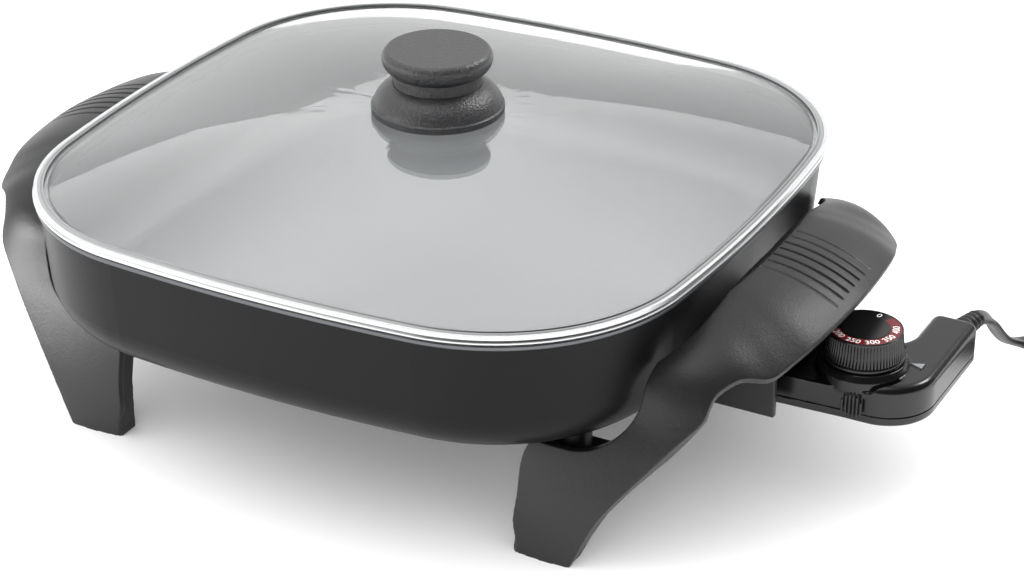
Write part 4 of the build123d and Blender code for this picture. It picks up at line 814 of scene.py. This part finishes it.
red, tree, shader, place = finish_of("dark_red_print", Base_Color=linear(DIAL_RED), Roughness=0.3)
ink = add(tree, "TexNoise", {"Vector": place, "Scale": 1 / (0.5 * MM)})
vary_colour(shader, ink.outputs["Fac"], DIAL_RED_WORN, DIAL_RED)


def arc_maker(first, last):
    """Filler of a mesh with a flat arc of the ring between two angles in degrees."""
    def fill(shape):
        seat = dial_high.z - DIAL_SEAT
        steps = max(2, round(abs(last - first) / 4))
        rings = []
        for k in range(steps + 1):
            angle = radians(first + (last - first) * k / steps)
            out = Vector((cos(angle), sin(angle), 0))
            low = [(RING_INNER, 0), (DIAL_SEAT_RADIUS, 0)]
            corners = low + [(DIAL_SEAT_RADIUS, RING_THICK), (RING_INNER, RING_THICK)]
            rings.append([DIAL_AXIS + out * r + Vector((0, 0, seat + z)) for r, z in corners])
        skin(shape, rings)
    return fill


red_arc = piece_of("red_arc", arc_maker(RED_FROM, RED_TO), red, "dial")
black_arc = piece_of("black_arc", arc_maker(RED_TO, RED_FROM + 360), housing, "dial")
for arc in (red_arc, black_arc):
    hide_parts("dial_ring")

# White numbers pad-printed on the ring, read from outside the dial.
NUMBERS = (("200", -128), ("250", -92), ("300", -56), ("350", -20), ("400", 18), ("0", 84))
NUMBER_WHITE = "#e6e5e2"
PRINT_FADES = ("#d9d8d4", "#f0efec")
CAP_SHARE = 0.72  # height of a figure, as a share of the font's size
NUMBER_TALL = 3.1 * MM
NUMBER_RADIUS = 12.9 * MM
PRINT_THICK = 0.03 * MM
PRINT_SINK = 0.01 * MM

white_print, tree, shader, place = finish_of("white_print", Base_Color=linear(NUMBER_WHITE), Roughness=0.45)
fade = add(tree, "TexNoise", {"Vector": place, "Scale": 1 / (0.4 * MM)})
vary_colour(shader, fade.outputs["Fac"], *PRINT_FADES)
for text, degrees in NUMBERS:
    words = bpy.data.curves.new("number", "FONT")
    words.body, words.size = text, NUMBER_TALL / CAP_SHARE
    words.align_x, words.align_y = "CENTER", "CENTER"
    words.extrude = PRINT_THICK / 2
    holder = bpy.data.objects.new("number", words)
    bpy.context.scene.collection.objects.link(holder)
    bpy.context.view_layer.update()
    mesh = bpy.data.meshes.new_from_object(holder)
    bpy.data.objects.remove(holder)
    out = Vector((cos(radians(degrees)), sin(radians(degrees)), 0)) * NUMBER_RADIUS
    top = dial_high.z - DIAL_SEAT + RING_THICK + PRINT_THICK / 2 - PRINT_SINK
    spot = Matrix.Translation(DIAL_AXIS + out + Vector((0, 0, top)))
    mesh.transform(spot @ Matrix.Rotation(radians(degrees + 90), 4, "Z"))
    mesh.materials.clear()
    mesh.materials.append(white_print)
    number = bpy.data.objects.new("number_" + text, mesh)
    bpy.context.scene.collection.objects.link(number)
    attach(number, "dial")

# ---- Done --------------------------------------------------------------------------------------
# Flags keep the edge and corner boxes off the paper, the glass and its band; the card reaches one frame.
for piece in bpy.context.scene.objects:
    if piece.type == "MESH" and piece not in (sweep, nodes["lid_glass"], band):
        dark_pieces.objects.link(piece)
left_arm.objects.link(left_frame)
